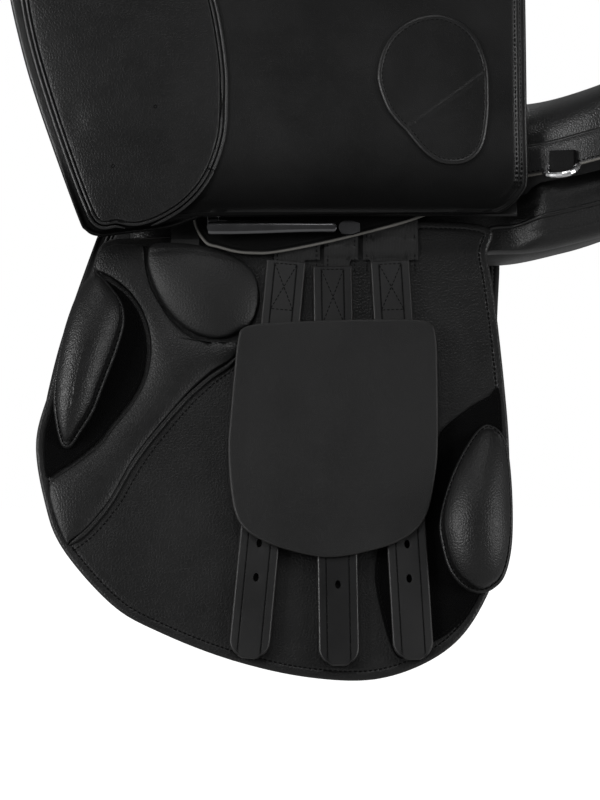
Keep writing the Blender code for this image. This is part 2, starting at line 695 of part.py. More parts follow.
for side, label in SIDES:
    frame = sweat_frames[side]
    plate("sweat_flap_" + label, side, loop_through(SWEAT_OUTLINE, 2), 0.0, SWEAT_THICKNESS,
          LEATHER, frame, rounding=0.0008)
    plate("knee_pad_" + label, side, loop_through(KNEE_PAD_OUTLINE, 2), patch_low,
          patch_low + KNEE_PAD_THICKNESS, LEATHER, frame, rounding=0.0022)
    plate("front_patch_" + label, side, loop_through(FRONT_PATCH_OUTLINE, 2), patch_low,
          patch_high, MATTE, frame)
    plate("rear_patch_" + label, side, loop_through(REAR_PATCH_OUTLINE, 2), patch_low,
          patch_high, MATTE, frame)
    shield = plate("bar_shield_" + label, side, loop_through(SHIELD_OUTLINE, 2), shield_low,
                   shield_high, SHIELD, frame)
    for part, x0, x1 in GIRTH_WEBS:
        box("girth_web_" + part + "_" + label, x0 * MM, x1 * MM,
            min(side * GIRTH_WEB_END, -side * GIRTH_WEB_TOP),
            max(side * GIRTH_WEB_END, -side * GIRTH_WEB_TOP),
            web_low, web_high, WEBBING, frame)

    # Point pocket: a stuffed cover that is open at the top for the end of the steel head
    base = patch_low
    pocket = dome(
        "point_pocket_" + label, side, loop_through(POCKET_OUTLINE, 2), (-140, 20),
        [(1.0, base), (1.0, base + 0.0015), (0.95, base + 0.62 * POCKET_HEIGHT),
         (0.84, base + 0.86 * POCKET_HEIGHT), (0.62, base + 0.97 * POCKET_HEIGHT),
         (0.30, base + POCKET_HEIGHT)],
        LEATHER, frame,
    )
    slot_side = 0.0012
    s0, s1 = side * -0.030, side * (POINT_END + 0.0012)
    slot = box(
        "pocket_slot_" + label, ARCH_X - ARCH_WIDTH / 2 - slot_side,
        ARCH_X + ARCH_WIDTH / 2 + slot_side, min(s0, s1), max(s0, s1),
        base - 0.001, arch_high + 2 * GAP,
        None, frame,
    )
    joined(pocket, slot, "DIFFERENCE")

    # Stirrup bar: bracket on the tree, arm at its front, open bar that ends at the catch
    rail_low = shield_high + BAR_SLOT
    bar = box(
        "stirrup_bar_" + label, BAR_FRONT, BAR_FRONT + BAR_LENGTH - 0.003,
        min(-side * BRACKET_TOP, -side * BRACKET_LOW),
        max(-side * BRACKET_TOP, -side * BRACKET_LOW),
        bracket_low, bracket_high, STEEL, frame,
    )
    s0, s1 = -side * (BRACKET_LOW + 0.024), -side * (BAR_TOP - BAR_HEIGHT - 0.0005)
    arm = box(
        "bar_arm_" + label, BAR_FRONT - 0.0005, BAR_FRONT + BAR_ARM, min(s0, s1), max(s0, s1),
        bracket_low - 0.0001, rail_low + 0.0005, None, frame,
    )
    s0, s1 = -side * BAR_TOP, -side * (BAR_TOP - BAR_HEIGHT)
    rail = box(
        "bar_rail_" + label, BAR_FRONT - 0.0010, BAR_FRONT + BAR_LENGTH, min(s0, s1),
        max(s0, s1), rail_low, rail_low + BAR_THICKNESS, None, frame,
    )
    joined(bar, arm, "UNION")
    joined(bar, rail, "UNION")


# Outer flap as it lies in its own plane, x and s from its hinge in millimetres
FLAP_OUTLINE = [
    (-190, -15), (-209, -17), (-219, -13), (-226, 0), (-253, 75), (-267, 122), (-277, 170),
    (-277, 212), (-266, 255), (-240, 294), (-195, 325), (-140, 342), (-80, 349), (-15, 347),
    (35, 333), (68, 308), (86, 272), (91, 225), (91.5, 150), (91.5, 70), (91.5, 26),
    (88, 14), (74, 1), (50, -1.2), (-60, -1.2), (-122, -1.2), (-140, -4), (-160, -11),
]
FLAP_PAD_OUTLINE = [
    (-198, -6), (-208, -7), (-215, 4), (-228, 38), (-243, 82), (-256, 127), (-263, 168),
    (-262, 205), (-252, 240), (-233, 268), (-214, 280), (-196, 268), (-172, 238), (-150, 200),
    (-134, 155), (-126, 110), (-125, 76), (-127, 52), (-136, 27), (-150, 9), (-168, -3),
    (-184, -8),
]
SKIRT_OUTLINE = [
    (-143, 6), (-142, 22), (-133, 46), (-112, 68), (-78, 80), (-38, 82), (2, 72), (23, 52),
    (31, 26), (33, 6), (29, -0.2), (18, -0.9), (-50, -0.9), (-128, -0.9), (-139, -0.2),
]

flap_turns = {NEAR: NEAR_FLAP_UP, OFF: FLAP_DOWN}
for side, label in SIDES:
    turn = flap_turns[side]
    frame = plane_frame("flap_axis_" + label, side, 0.0, FLAP_HINGE_W, FLAP_HINGE_Z, turn)
    half = FLAP_THICKNESS / 2
    plate("flap_" + label, side, loop_through(FLAP_OUTLINE, 2), -half, half, SMOOTH, frame,
          rounding=0.0010)
    plate("flap_pad_" + label, side, loop_through(FLAP_PAD_OUTLINE, 2),
          -half - GAP - FLAP_PAD_THICKNESS, -half - GAP, LEATHER, frame, rounding=0.0018)
    skirt_frame = plane_frame(
        "skirt_axis_" + label, side, 0.0, SKIRT_HINGE_W, SKIRT_HINGE_Z, turn
    )
    plate("skirt_" + label, side, loop_through(SKIRT_OUTLINE, 2), -SKIRT_THICKNESS / 2,
          SKIRT_THICKNESS / 2, SMOOTH, skirt_frame, rounding=0.0008)

    # Flap head: the fixed top strip that the flap bends away from
    head_frame = plane_frame(
        "flap_head_plane_" + label, side, 0.0, FLAP_HINGE_W, FLAP_HINGE_Z, HEAD_TILT
    )
    top = -half - HEAD_CLEARANCE
    box("flap_head_" + label, HEAD_FRONT, HEAD_REAR,
        min(-side * HEAD_HEIGHT, -side * HEAD_END), max(-side * HEAD_HEIGHT, -side * HEAD_END),
        top - HEAD_THICKNESS, top, SMOOTH, head_frame)

# Girth straps of a side swing as one from the webs, with the guard threaded on them
for side, label in SIDES:
    frame = sweat_frames[side]
    w, z = on_plane(SWEAT_W, 0.0, SPLAY, STRAP_TOP, strap_low)
    strap_axis = plane_frame("strap_axis_" + label, side, 0.0, w, z, SPLAY)
    for part, middle, drop, lean in STRAPS:
        tilt = math.radians(lean)
        half = STRAP_WIDTH / 2
        tongue = STRAP_TONGUE
        outline = [(-half, 0.0), (-half, STRAP_LENGTH - tongue)]
        bend = [math.radians(STRAP_TIP_TURN * k / 3) for k in range(1, 4)]
        reach = tongue / math.sin(bend[-1])
        tip = [(half * math.cos(a), STRAP_LENGTH - tongue + reach * math.sin(a)) for a in bend]
        outline += [(-x, s) for x, s in tip] + list(reversed(tip))
        outline += [(half, STRAP_LENGTH - tongue), (half, 0.0)]
        turned = []
        for x, s in outline:
            turned.append((
                middle * MM + x * math.cos(tilt) - s * math.sin(tilt),
                s * math.cos(tilt) + x * math.sin(tilt),
            ))
        turned = [(x, max(s, 0.0) + drop * MM) for x, s in turned]
        strap = plate("girth_strap_" + part + "_" + label, side, turned, 0.0,
                      STRAP_THICKNESS, SMOOTH, strap_axis)
        strap = as_mesh(strap)
        holes = []
        for k in range(STRAP_HOLES):
            s = STRAP_LENGTH - STRAP_HOLE_START - k * STRAP_HOLE_PITCH
            x = middle * MM - s * math.sin(tilt)
            s = s * math.cos(tilt) + drop * MM
            holes.append((x, s))
        for k, (x, s) in enumerate(holes):
            mesh = bpy.data.meshes.new("hole")
            bm = bmesh.new()
            bmesh.ops.create_cone(
                bm, cap_ends=True, segments=8, radius1=STRAP_HOLE_WIDTH / 2,
                radius2=STRAP_HOLE_WIDTH / 2, depth=0.02,
            )
            for v in bm.verts:
                v.co.y *= STRAP_HOLE_LENGTH / STRAP_HOLE_WIDTH
            bm.to_mesh(mesh)
            bm.free()
            hole = bpy.data.objects.new("hole_%s_%s_%d" % (part, label, k), mesh)
            cutters.objects.link(hole)
            hole.hide_render = True
            hole.display_type = "WIRE"
            hole.parent = strap_axis
            hole.location = (x, side * s, STRAP_THICKNESS / 2)
            joined(strap, hole, "DIFFERENCE")

    # Buckle guard: a plate over the straps with two keepers that pass behind them
    lift = guard_low - strap_low
    outline = [(x, s - STRAP_TOP) for x, s in loop_through(GUARD_OUTLINE, 2)]
    guard = plate("buckle_guard_" + label, side, outline, lift, lift + GUARD_THICKNESS,
                  SMOOTH, strap_axis)
    guard = as_mesh(guard)
    for number, s_keeper in enumerate(KEEPER_PLACES):
        edges = []
        for part, middle, drop, lean in STRAPS:
            tilt = math.radians(lean)
            x = middle * MM - (s_keeper - drop * MM) * math.tan(tilt)
            spread = (0.5 * KEEPER_HEIGHT + GUARD_TRAVEL) * abs(math.tan(tilt)) + 0.0006
            half = STRAP_WIDTH / 2 / math.cos(tilt) + spread
            edges.append((x - half, x + half))
        under = strap_low - keeper_low
        back = -under
        inner = -STRAP_CLEARANCE
        x_first = edges[0][0] - 0.006
        x_last = edges[-1][1] + 0.006
        profile = [(x_first, back), (x_last, back), (x_last, lift + 0.0008)]
        for x0, x1 in reversed(edges):
            profile += [(x1, lift + 0.0008), (x1, inner), (x0, inner), (x0, lift + 0.0008)]
        profile += [(x_first, lift + 0.0008)]
        s0 = side * (s_keeper - KEEPER_HEIGHT / 2)
        s1 = side * (s_keeper + KEEPER_HEIGHT / 2)
        keeper = loft(
            "keeper_%d_%s" % (number, label),
            [[(x, s, h) for x, h in profile] for s in (s0, s1)],
            SMOOTH, strap_axis,
        )
        parts.objects.unlink(keeper)
        cutters.objects.link(keeper)
        keeper.hide_render = True
        keeper.display_type = "WIRE"
        joined(guard, keeper, "UNION")

# Hook-and-loop blocks: stuffed teardrops with a sewn flange
for side, label in SIDES:
    frame = sweat_frames[side]
    base = patch_high + BLOCK_LIFT
    top = KNEE_BLOCK_HEIGHT
    outline = loop_through(KNEE_BLOCK_OUTLINE, 2)
    dome(
        "knee_block_" + label, side, outline, (-216, 80),
        [(1.0, base), (1.0, base + 0.0025), (0.90, base + 0.0032), (0.86, base + 0.32 * top),
         (0.76, base + 0.62 * top), (0.58, base + 0.85 * top), (0.36, base + 0.96 * top),
         (0.15, base + top)],
        LEATHER, frame,
    )
    top = THIGH_BLOCK_HEIGHT
    outline = loop_through(THIGH_BLOCK_OUTLINE, 2)
    dome(
        "thigh_block_" + label, side, outline, (50, 195),
        [(1.0, base), (1.0, base + 0.0025), (0.92, base + 0.0032), (0.90, base + 0.35 * top),
         (0.83, base + 0.66 * top), (0.68, base + 0.87 * top), (0.45, base + 0.97 * top),
         (0.20, base + top)],
        LEATHER, frame,
    )


def turned_frame(name, side, x, w, z, plan_turn, lean=0.0):
    """Empty on the seat's edge: local x along the edge, y up, z outward."""
    empty = bpy.data.objects.new(name, None)
    parts.objects.link(empty)
    empty.empty_display_size = 0.02
    empty.location = (x, side * w, z)
    along = Vector((math.cos(plan_turn), side * math.sin(plan_turn), 0.0))
    out = Vector((-math.sin(plan_turn), side * math.cos(plan_turn), 0.0))
    out = (out * math.cos(lean) + Vector((0, 0, math.sin(lean)))).normalized()
    if side == NEAR:
        right, up = along, out.cross(along)
    else:
        right, up = -along, out.cross(-along)
    rows = ((right.x, up.x, out.x), (right.y, up.y, out.y), (right.z, up.z, out.z))
    empty.rotation_euler = Matrix(rows).to_euler()
    return empty


def edge_turn(x):
    """Turn of the seat's outline in plan at x."""
    return math.atan2(seat_half(x + 0.004) - seat_half(x - 0.004), 0.008)


def stud(name, frame, lift, look):
    """Domed nail head that stands on its frame's face."""
    mesh = bpy.data.meshes.new(name)
    bm = bmesh.new()
    ring_count = 16
    profile = [(STUD_RADIUS, 0.0), (STUD_RADIUS, 0.35 * STUD_HEIGHT),
               (0.75 * STUD_RADIUS, 0.80 * STUD_HEIGHT), (0.35 * STUD_RADIUS, STUD_HEIGHT)]
    rings = []
    for radius, h in profile:
        rings.append([
            bm.verts.new((radius * math.cos(2 * math.pi * k / ring_count),
                          radius * math.sin(2 * math.pi * k / ring_count), lift + h))
            for k in range(ring_count)
        ])
    for a, b in zip(rings[:-1], rings[1:]):
        for k in range(ring_count):
            j = (k + 1) % ring_count
            bm.faces.new((a[k], a[j], b[j], b[k]))
    bm.faces.new(rings[0])
    bm.faces.new(rings[-1])
    bmesh.ops.recalc_face_normals(bm, faces=bm.faces)
    bm.to_mesh(mesh)
    bm.free()
    obj = bpy.data.objects.new(name, mesh)
    parts.objects.link(obj)
    obj.parent = frame
    mesh.shade_smooth()
    mesh.set_sharp_from_angle(angle=math.radians(40))
    paint(obj, look)
    return obj


for side, label in SIDES:
    # Ring at the back: a leather chape on the band holds the straight side of the dee
    turn = edge_turn(CHAPE_X)
    chape_low = seat_edge(CHAPE_X) - BAND_HEIGHT - CHAPE_DROP
    bar_h = CHAPE_DEPTH / 2 + GAP
    bar_up = CHAPE_DEPTH / 2
    frame = turned_frame(
        "dee_axis_" + label, side, CHAPE_X - bar_h * math.sin(turn),
        seat_half(CHAPE_X) + bar_h * math.cos(turn), chape_low + bar_up, turn,
    )
    chape = box(
        "dee_chape_" + label, -CHAPE_WIDTH / 2, CHAPE_WIDTH / 2, -bar_up,
        CHAPE_HEIGHT - bar_up, -CHAPE_DEPTH / 2, CHAPE_DEPTH / 2, LEATHER, frame,
    )
    mesh = bpy.data.meshes.new("tunnel")
    bm = bmesh.new()
    bmesh.ops.create_cone(
        bm, cap_ends=True, segments=12, radius1=DEE_WIRE / 2 + DEE_CLEARANCE,
        radius2=DEE_WIRE / 2 + DEE_CLEARANCE, depth=CHAPE_WIDTH * 1.4,
    )
    for v in bm.verts:
        v.co = Vector((v.co.z, v.co.x, -v.co.y))
    bmesh.ops.recalc_face_normals(bm, faces=bm.faces)
    bm.to_mesh(mesh)
    bm.free()
    tunnel = bpy.data.objects.new("chape_tunnel_" + label, mesh)
    cutters.objects.link(tunnel)
    tunnel.hide_render = True
    tunnel.display_type = "WIRE"
    tunnel.parent = frame
    joined(chape, tunnel, "DIFFERENCE")
    half = DEE_WIDTH / 2 - DEE_WIRE / 2
    points = [(half * k / 2, 0.0) for k in range(-2, 3)]
    drop = DEE_DROP - DEE_WIRE / 2
    for k in range(0, 13):
        a = math.pi * k / 12
        points.append((
            half * math.copysign(abs(math.cos(a)) ** 0.75, math.cos(a)),
            -0.0035 - (drop - 0.0035) * math.sin(a) ** 0.9,
        ))
    curve = bpy.data.curves.new("dee_ring_" + label, "CURVE")
    curve.dimensions = "3D"
    curve.bevel_depth = DEE_WIRE / 2
    curve.bevel_resolution = 2
    spline = curve.splines.new("POLY")
    spline.points.add(len(points) - 1)
    spline.use_cyclic_u = True
    for point, (x, y) in zip(spline.points, points):
        point.co = (x, y * math.cos(DEE_OUT), -y * math.sin(DEE_OUT), 1.0)
    dee = bpy.data.objects.new("dee_ring_" + label, curve)
    parts.objects.link(dee)
    dee.parent = frame
    paint(dee, CHROME)

    # Stud on the band behind the dee, nail on the side of the pommel
    turn = edge_turn(STUD_X)
    frame = turned_frame(
        "band_stud_plane_" + label, side, STUD_X, seat_half(STUD_X),
        seat_edge(STUD_X) - 0.55 * BAND_HEIGHT, turn,
    )
    stud("band_stud_" + label, frame, GAP, CHROME)
    y, z = seat_point(NAIL_X, math.radians(60), 0.0)
    y2, z2 = seat_point(NAIL_X, math.radians(66), 0.0)
    lean = math.atan2(y2 - y, z - z2)
    frame = turned_frame("pommel_nail_plane_" + label, side, NAIL_X, y, z, edge_turn(NAIL_X), lean)
    stud("pommel_nail_" + label, frame, 4 * GAP, CHROME)

    # Safety catch in line behind the stirrup bar, on a pin through the bar's height
    rail_mid = rail_low + BAR_THICKNESS / 2
    s_mid = BAR_HEIGHT / 2 - BAR_TOP
    pin_x = BAR_FRONT + BAR_LENGTH + CATCH_CLEARANCE + CATCH_HEIGHT / 2
    w, z = on_plane(SWEAT_W, 0.0, SPLAY, s_mid, rail_mid)
    frame = plane_frame("catch_axis_" + label, side, pin_x, w, z, SPLAY)
    radius = CATCH_HEIGHT / 2
    outline = [
        (-radius * math.sin(a), radius * math.cos(a))
        for a in (math.pi * k / 8 for k in range(0, 9))
    ]
    outline += [(CATCH_LENGTH - 2 * radius, -radius), (CATCH_LENGTH - radius, -0.6 * radius),
                (CATCH_LENGTH - radius, 0.6 * radius), (CATCH_LENGTH - 2 * radius, radius)]
    plate("bar_catch_" + label, side, outline, -CATCH_THICKNESS, 0.0, STEEL, frame)
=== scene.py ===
import math

import bmesh
import bpy
import numpy as np
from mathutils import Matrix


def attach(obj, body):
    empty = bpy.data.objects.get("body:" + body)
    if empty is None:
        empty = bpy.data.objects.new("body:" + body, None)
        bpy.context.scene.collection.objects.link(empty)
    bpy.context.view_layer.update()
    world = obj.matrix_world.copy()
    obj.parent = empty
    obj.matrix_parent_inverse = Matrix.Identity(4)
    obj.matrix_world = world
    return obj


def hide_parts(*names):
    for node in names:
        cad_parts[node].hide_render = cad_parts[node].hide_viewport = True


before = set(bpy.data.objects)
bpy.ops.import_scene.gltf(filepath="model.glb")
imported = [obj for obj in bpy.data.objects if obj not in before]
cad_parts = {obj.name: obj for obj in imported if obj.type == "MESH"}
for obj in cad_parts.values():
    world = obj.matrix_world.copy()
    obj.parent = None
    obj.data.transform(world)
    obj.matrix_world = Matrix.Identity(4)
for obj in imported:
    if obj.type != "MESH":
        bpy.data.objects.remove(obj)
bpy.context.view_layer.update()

# Seat: foam under one sheet of grained black leather, blocked over the tree and drawn down
# to a welt along its lower edge. The middle dips between pommel and cantle, the twist is
# peaked and the back is broad and slightly dished.
SEAT_FRONT, SEAT_REAR = -0.166, 0.279
SEAT_HALF, WAIST_HALF = 0.130, 0.098
POMMEL_Z, LOW_Z, CANTLE_Z = 0.158, 0.118, 0.202
EDGE_Z, EDGE_RISE, SEAT_DISH = 0.083, 0.066, 0.014


def smooth_through(places, values, x):
    """Monotone cubic through (place, value) pairs: slopes are harmonic means of the rates on
    both sides and zero at a turning point, level beyond the ends."""
    places, values = np.asarray(places, float), np.asarray(values, float)
    x = np.clip(x, places[0], places[-1])
    rate = np.diff(values) / np.diff(places)
    both = rate[:-1] + rate[1:]
    product = rate[:-1] * rate[1:]
    inner = np.where(product > 0, 2 * product / np.where(both == 0, 1, both), 0)
    slope = np.concatenate([rate[:1], inner, rate[-1:]])
    i = np.clip(np.searchsorted(places, x) - 1, 0, len(places) - 2)
    step = places[i + 1] - places[i]
    t = (x - places[i]) / step
    return ((1 + 2 * t) * (1 - t) ** 2 * values[i] + t * (1 - t) ** 2 * step * slope[i]
            + t * t * (3 - 2 * t) * values[i + 1] + t * t * (t - 1) * step * slope[i + 1])


def ease(t):
    """Smooth step: 3t^2 - 2t^3 between 0 and 1."""
    t = np.clip(t, 0, 1)
    return t * t * (3 - 2 * t)


def along_seat(x):
    return (x - SEAT_FRONT) / (SEAT_REAR - SEAT_FRONT)


def seat_half(x):
    """Half width of the seat in plan: waist, then the swell of the cantle, then its round end."""
    wide = SEAT_HALF - WAIST_HALF
    return smooth_through(
        [0, .12, .35, .575, .69, .80, .89, .955, .985, 1],
        [WAIST_HALF - .018, WAIST_HALF - .006, WAIST_HALF, WAIST_HALF + .02 * wide,
         WAIST_HALF + .62 * wide, SEAT_HALF, .94 * SEAT_HALF, .79 * SEAT_HALF, .61 * SEAT_HALF,
         .42 * SEAT_HALF], along_seat(x))


def seat_middle(x):
    front, rear = POMMEL_Z - LOW_Z, CANTLE_Z - LOW_Z
    return smooth_through(
        [0, .15, .30, .45, .60, .72, .83, .92, 1],
        [POMMEL_Z, LOW_Z + .45 * front, LOW_Z + .10 * front, LOW_Z, LOW_Z + .05 * rear,
         LOW_Z + .20 * rear, LOW_Z + .45 * rear, LOW_Z + .74 * rear, CANTLE_Z], along_seat(x))


def seat_edge(x):
    return smooth_through(
        [0, .12, .56, .683, .80, .90, 1],
        [EDGE_Z + .012, EDGE_Z, EDGE_Z, EDGE_Z + .15 * EDGE_RISE, EDGE_Z + .42 * EDGE_RISE,
         EDGE_Z + .72 * EDGE_RISE, EDGE_Z + EDGE_RISE], along_seat(x))


def seat_face(x, turn, inset=0.0):
    """Seat section at x: y = (half - inset) sin(turn), z = edge + rise cos(turn)^peak, where
    rise is the height of the middle over the edge plus a dish that grows towards the back."""
    share = along_seat(x)
    peak = smooth_through([0, .35, .575, .72, 1], [1.35, 1.20, .80, .52, .40], share)
    low = seat_edge(x)
    rise = seat_middle(x) - 1.15 * inset - low
    rise = rise + SEAT_DISH * ease((share - .55) / .35) * np.sin(turn) ** 2
    y = (seat_half(x) - inset) * np.sin(turn)
    z = low + rise * np.maximum(np.cos(turn), 0) ** peak
    return np.stack(np.broadcast_arrays(x, y, z), axis=-1)


def skin_faces(rows, columns, start=0, ring=False):
    """Quads between neighbouring rows and columns of a grid; a ring also joins last to first."""
    index = np.arange(rows * columns).reshape(rows, columns) + start
    if ring:
        index = np.concatenate([index, index[:, :1]], axis=1)
    quads = np.stack([index[:-1, :-1], index[:-1, 1:], index[1:, 1:], index[1:, :-1]], axis=-1)
    return quads.reshape(-1, 4).tolist()


def closed_mesh(name, points, faces, merge=False, marks=None):
    """Mesh with its faces turned outwards; borders that meet are merged if asked. marks holds
    point attributes, one value per point."""
    mesh = bpy.data.meshes.new(name)
    mesh.from_pydata(points.reshape(-1, 3).tolist(), [], faces)
    for mark, values in (marks or {}).items():
        mesh.attributes.new(mark, "FLOAT", "POINT").data.foreach_set(
            "value", np.ravel(values).astype(np.float32))
    tidy = bmesh.new()
    tidy.from_mesh(mesh)
    if merge:
        bmesh.ops.remove_doubles(tidy, verts=tidy.verts, dist=2e-5)
        bmesh.ops.dissolve_degenerate(tidy, edges=tidy.edges, dist=1e-6)
    bmesh.ops.recalc_face_normals(tidy, faces=tidy.faces)
    tidy.to_mesh(mesh)
    tidy.free()
    return mesh


def placed(name, mesh, look, body, nodes=(), sharp=None):
    """Smooth-shaded object of a mesh, with its look, the solids it stands for and the body
    it rides."""
    mesh.shade_smooth()
    if sharp:
        mesh.set_sharp_from_angle(angle=math.radians(sharp))
    piece = bpy.data.objects.new(name, mesh)
    bpy.context.scene.collection.objects.link(piece)
    mesh.materials.append(look.made)
    if nodes:
        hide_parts(*nodes)
    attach(piece, body)
    return piece


def add_piece(name, grids, look, nodes=(), body="saddle", rings=False, marks=None,
              sharp=40):
    """One closed piece from grids of points (rows, columns, 3). With rings each row is closed
    and the first and last are capped."""
    faces, start = [], 0
    for grid in grids:
        rows, columns = grid.shape[:2]
        faces += skin_faces(rows, columns, start, rings)
        last = start + (rows - 1) * columns
        if rings:
            faces += [list(range(k, k + columns)) for k in (start, last)]
        start = last + columns
    mesh = closed_mesh(name, np.concatenate([grid.reshape(-1, 3) for grid in grids]), faces,
                       True, marks)
    piece = placed(name, mesh, look, body, nodes, sharp)
    return piece


def fill_in(made, **values):
    """Sets a node's settings and inputs, each named as in the node with _ for a space."""
    for key, value in values.items():
        socket = key.replace("_", " ").title().replace("Ior", "IOR")
        if socket in made.inputs:
            made.inputs[socket].default_value = value
        else:
            setattr(made, key, value)


class Look:
    """Node material, or world, whose textures lie on the object's own coordinates."""

    def __init__(self, made, first="Principled BSDF"):
        made.use_nodes = True
        self.made, self.tree = made, made.node_tree
        self.shader = self.tree.nodes[first]

    def node(self, kind, **values):
        made = self.tree.nodes.new("ShaderNode" + kind)
        fill_in(made, **values)
        return made

    def link(self, start, output, end, socket):
        self.tree.links.new(start.outputs[output], end.inputs[socket])

    def texture(self, kind, **values):
        made = self.node("Tex" + kind, **values)
        self.link(self.node("TexCoord"), "Object", made, "Vector")
        return made

    def math(self, operation, *values, clamp=False):
        """Math node whose inputs are numbers or (node, output) pairs."""
        made = self.node("Math", operation=operation, use_clamp=clamp)
        for number, value in enumerate(values):
            if isinstance(value, tuple):
                self.link(*value, made, number)
            else:
                made.inputs[number].default_value = value
        return made

    def bump(self, height, output, strength, distance):
        made = self.node("Bump", strength=strength, distance=distance)
        self.link(height, output, made, "Height")
        self.link(made, "Normal", self.shader, "Normal")

    def tint(self, share, output, colour, dark, light):
        """Base colour that goes from dark to light times the colour."""
        made = self.node("Mix", data_type="RGBA", a=(*[c * dark for c in colour], 1),
                         b=(*[c * light for c in colour], 1))
        self.link(share, output, made, "Factor")
        self.link(made, "Result", self.shader, "Base Color")

    def wear(self, share, low, high):
        """Roughness that drifts between two values."""
        made = self.node("MapRange", from_min=0.3, from_max=0.7, to_min=low, to_max=high)
        self.link(share, "Fac", made, "Value")
        self.link(made, "Result", self.shader, "Roughness")


def leather(name, colour, roughness, grain, depth, crease, coat=0.0, specular=0.42):
    """Leather. Height = cells of the grain (distance to their borders) + a finer noise times
    crease, both shallow; colour and roughness drift slowly over the hide."""
    look = Look(bpy.data.materials.new(name))
    cells = look.texture("Voronoi", feature="DISTANCE_TO_EDGE", scale=grain, randomness=0.9)
    fine = look.texture("Noise", scale=grain * 1.7, detail=3.0, roughness=0.6)
    drift = look.texture("Noise", scale=14.0, detail=5.0, roughness=0.62)
    ramp = look.node("MapRange", from_max=0.30)
    look.link(cells, "Distance", ramp, "Value")
    height = look.math("MULTIPLY_ADD", (fine, "Fac"), crease, (ramp, "Result"))
    look.bump(height, "Value", 0.9, depth)
    look.tint(drift, "Fac", colour, 0.72, 1.35)
    look.wear(drift, roughness - 0.07, roughness + 0.09)
    fill_in(look.shader, coat_weight=coat, coat_roughness=0.35, specular_ior_level=specular)
    return look


seat_leather = leather("seat_leather", (0.0035, 0.0035, 0.0037), 0.36, 520.0, 0.00015, 0.08, 0.10)
grained_leather = leather("grained_leather", (0.0028, 0.0028, 0.0029), 0.45, 480.0, 0.00013, 0.08)
smooth_leather = leather("smooth_leather", (0.0032, 0.0032, 0.0033), 0.38, 1500.0, 0.00004, 0.6)

SEAT_ROWS, SEAT_COLUMNS, SEAT_THICK = 121, 97, 0.0130


def seat_places(count):
    """Places along the seat, closer together towards its rear."""
    t = np.linspace(0, 1, count)
    return SEAT_FRONT + (SEAT_REAR - SEAT_FRONT) * np.sin(0.5 * np.pi * t ** 0.9)


xx, turns = np.meshgrid(seat_places(SEAT_ROWS), np.radians(np.linspace(-90, 90, SEAT_COLUMNS)),
                        indexing="ij")
seat_outer, seat_inner = seat_face(xx, turns), seat_face(xx, turns, SEAT_THICK)
# Back of the cantle: the last section swells out by 9 mm while it closes on its lower edge
close = np.radians(np.linspace(0, 90, 15))[1:, None]
last, low = seat_outer[-1], seat_outer[-1, 0, 2]
back = np.stack(np.broadcast_arrays(
    SEAT_REAR + 0.009 * np.sin(close), last[:, 1] * np.cos(close) ** 0.7,
    low + (last[:, 2] - low) * np.cos(close) ** 0.7), axis=-1)
walls = [np.stack([seat_outer[:, k], seat_inner[:, k]], axis=1) for k in (0, -1)]
add_piece("seat", [np.concatenate([seat_outer, back]), seat_inner, *walls,
                   np.stack([seat_outer[0], seat_inner[0]])], seat_leather,
          ("seat_cushion", "cantle_facing"))

# Pommel facing: a padded roll of the seat's leather that closes its front and
# leaves the arch over the withers open. It is blocked over the arch and nailed at each side.
FACE_ROWS, FACE_X = 121, -0.1664
facing_out = seat_face(np.full(81, SEAT_FRONT), np.radians(np.linspace(-90, 90, 81)))[:, 1:]
leg = facing_out[-1, 0] + 0.009
facing_in = np.array([(leg - 0.013, 0.058), (0.052, 0.088), (0.034, 0.104), (0.012, 0.112)])
facing_in = np.concatenate([facing_in * (-1, 1), facing_in[::-1]])
side_leg = np.array([(leg - 0.003, 0.075), (leg, 0.060)])
facing_out = np.concatenate([side_leg[::-1] * (-1, 1), facing_out, side_leg])


def even(path, count):
    """Points at even spacing along a path, by its own length."""
    path = np.asarray(path, float)
    run = np.concatenate([[0], np.cumsum(np.linalg.norm(np.diff(path, axis=0), axis=1))])
    place = np.linspace(0, run[-1], count)
    return np.stack([np.interp(place, run, path[:, k]) for k in range(path.shape[1])], axis=1)


def softened(path, times=3):
    """Each inner point moves to the mean of itself and its two neighbours."""
    path = path.copy()
    for _ in range(times):
        path[1:-1] = (path[:-2] + 2 * path[1:-1] + path[2:]) / 4
    return path


outer_line = even(facing_out, FACE_ROWS)
inner_line = softened(even(facing_in, FACE_ROWS), 10)
across = np.linspace(0, 1, 25)[None, :, None]
face_yz = outer_line[:, None] * (1 - across) + inner_line[:, None] * across
roll = np.sqrt(np.clip(1 - (2 * across[..., 0] - 1) ** 2, 0, 1)) ** 0.8
ends = np.minimum(np.arange(FACE_ROWS), np.arange(FACE_ROWS)[::-1])
ends = np.clip(ends / 5.0, 0, 1)[:, None] ** 0.5
add_piece("pommel_roll",
          [np.concatenate([(FACE_X - high * roll * ends)[..., None], face_yz], axis=2)
           for high in (0.0082, 0)], seat_leather, ("pommel_facing",))


# Welt: a thin piping sewn between the seat and the band, all round the seat's lower edge. It
# is a strip of smooth leather folded over a cord.
def tube(path, radius, sides):
    """Rings round a path: point + radius (cos a n + sin a b), where n and b are carried along
    at right angles to the path's direction; the radius may change along it."""
    along = np.gradient(path, axis=0)
    along /= np.linalg.norm(along, axis=1)[:, None]
    up = np.where(np.abs(along[:, 2:]) > 0.9, [[1.0, 0, 0]], [[0, 0, 1.0]])
    n = np.cross(along, up)
    n /= np.linalg.norm(n, axis=1)[:, None]
    b = np.cross(along, n)
    a = np.linspace(0, 2 * np.pi, sides, endpoint=False)[None, :, None]
    radius = np.broadcast_to(radius, (len(path),))[:, None, None]
    return path[:, None] + radius * (np.cos(a) * n[:, None] + np.sin(a) * b[:, None])


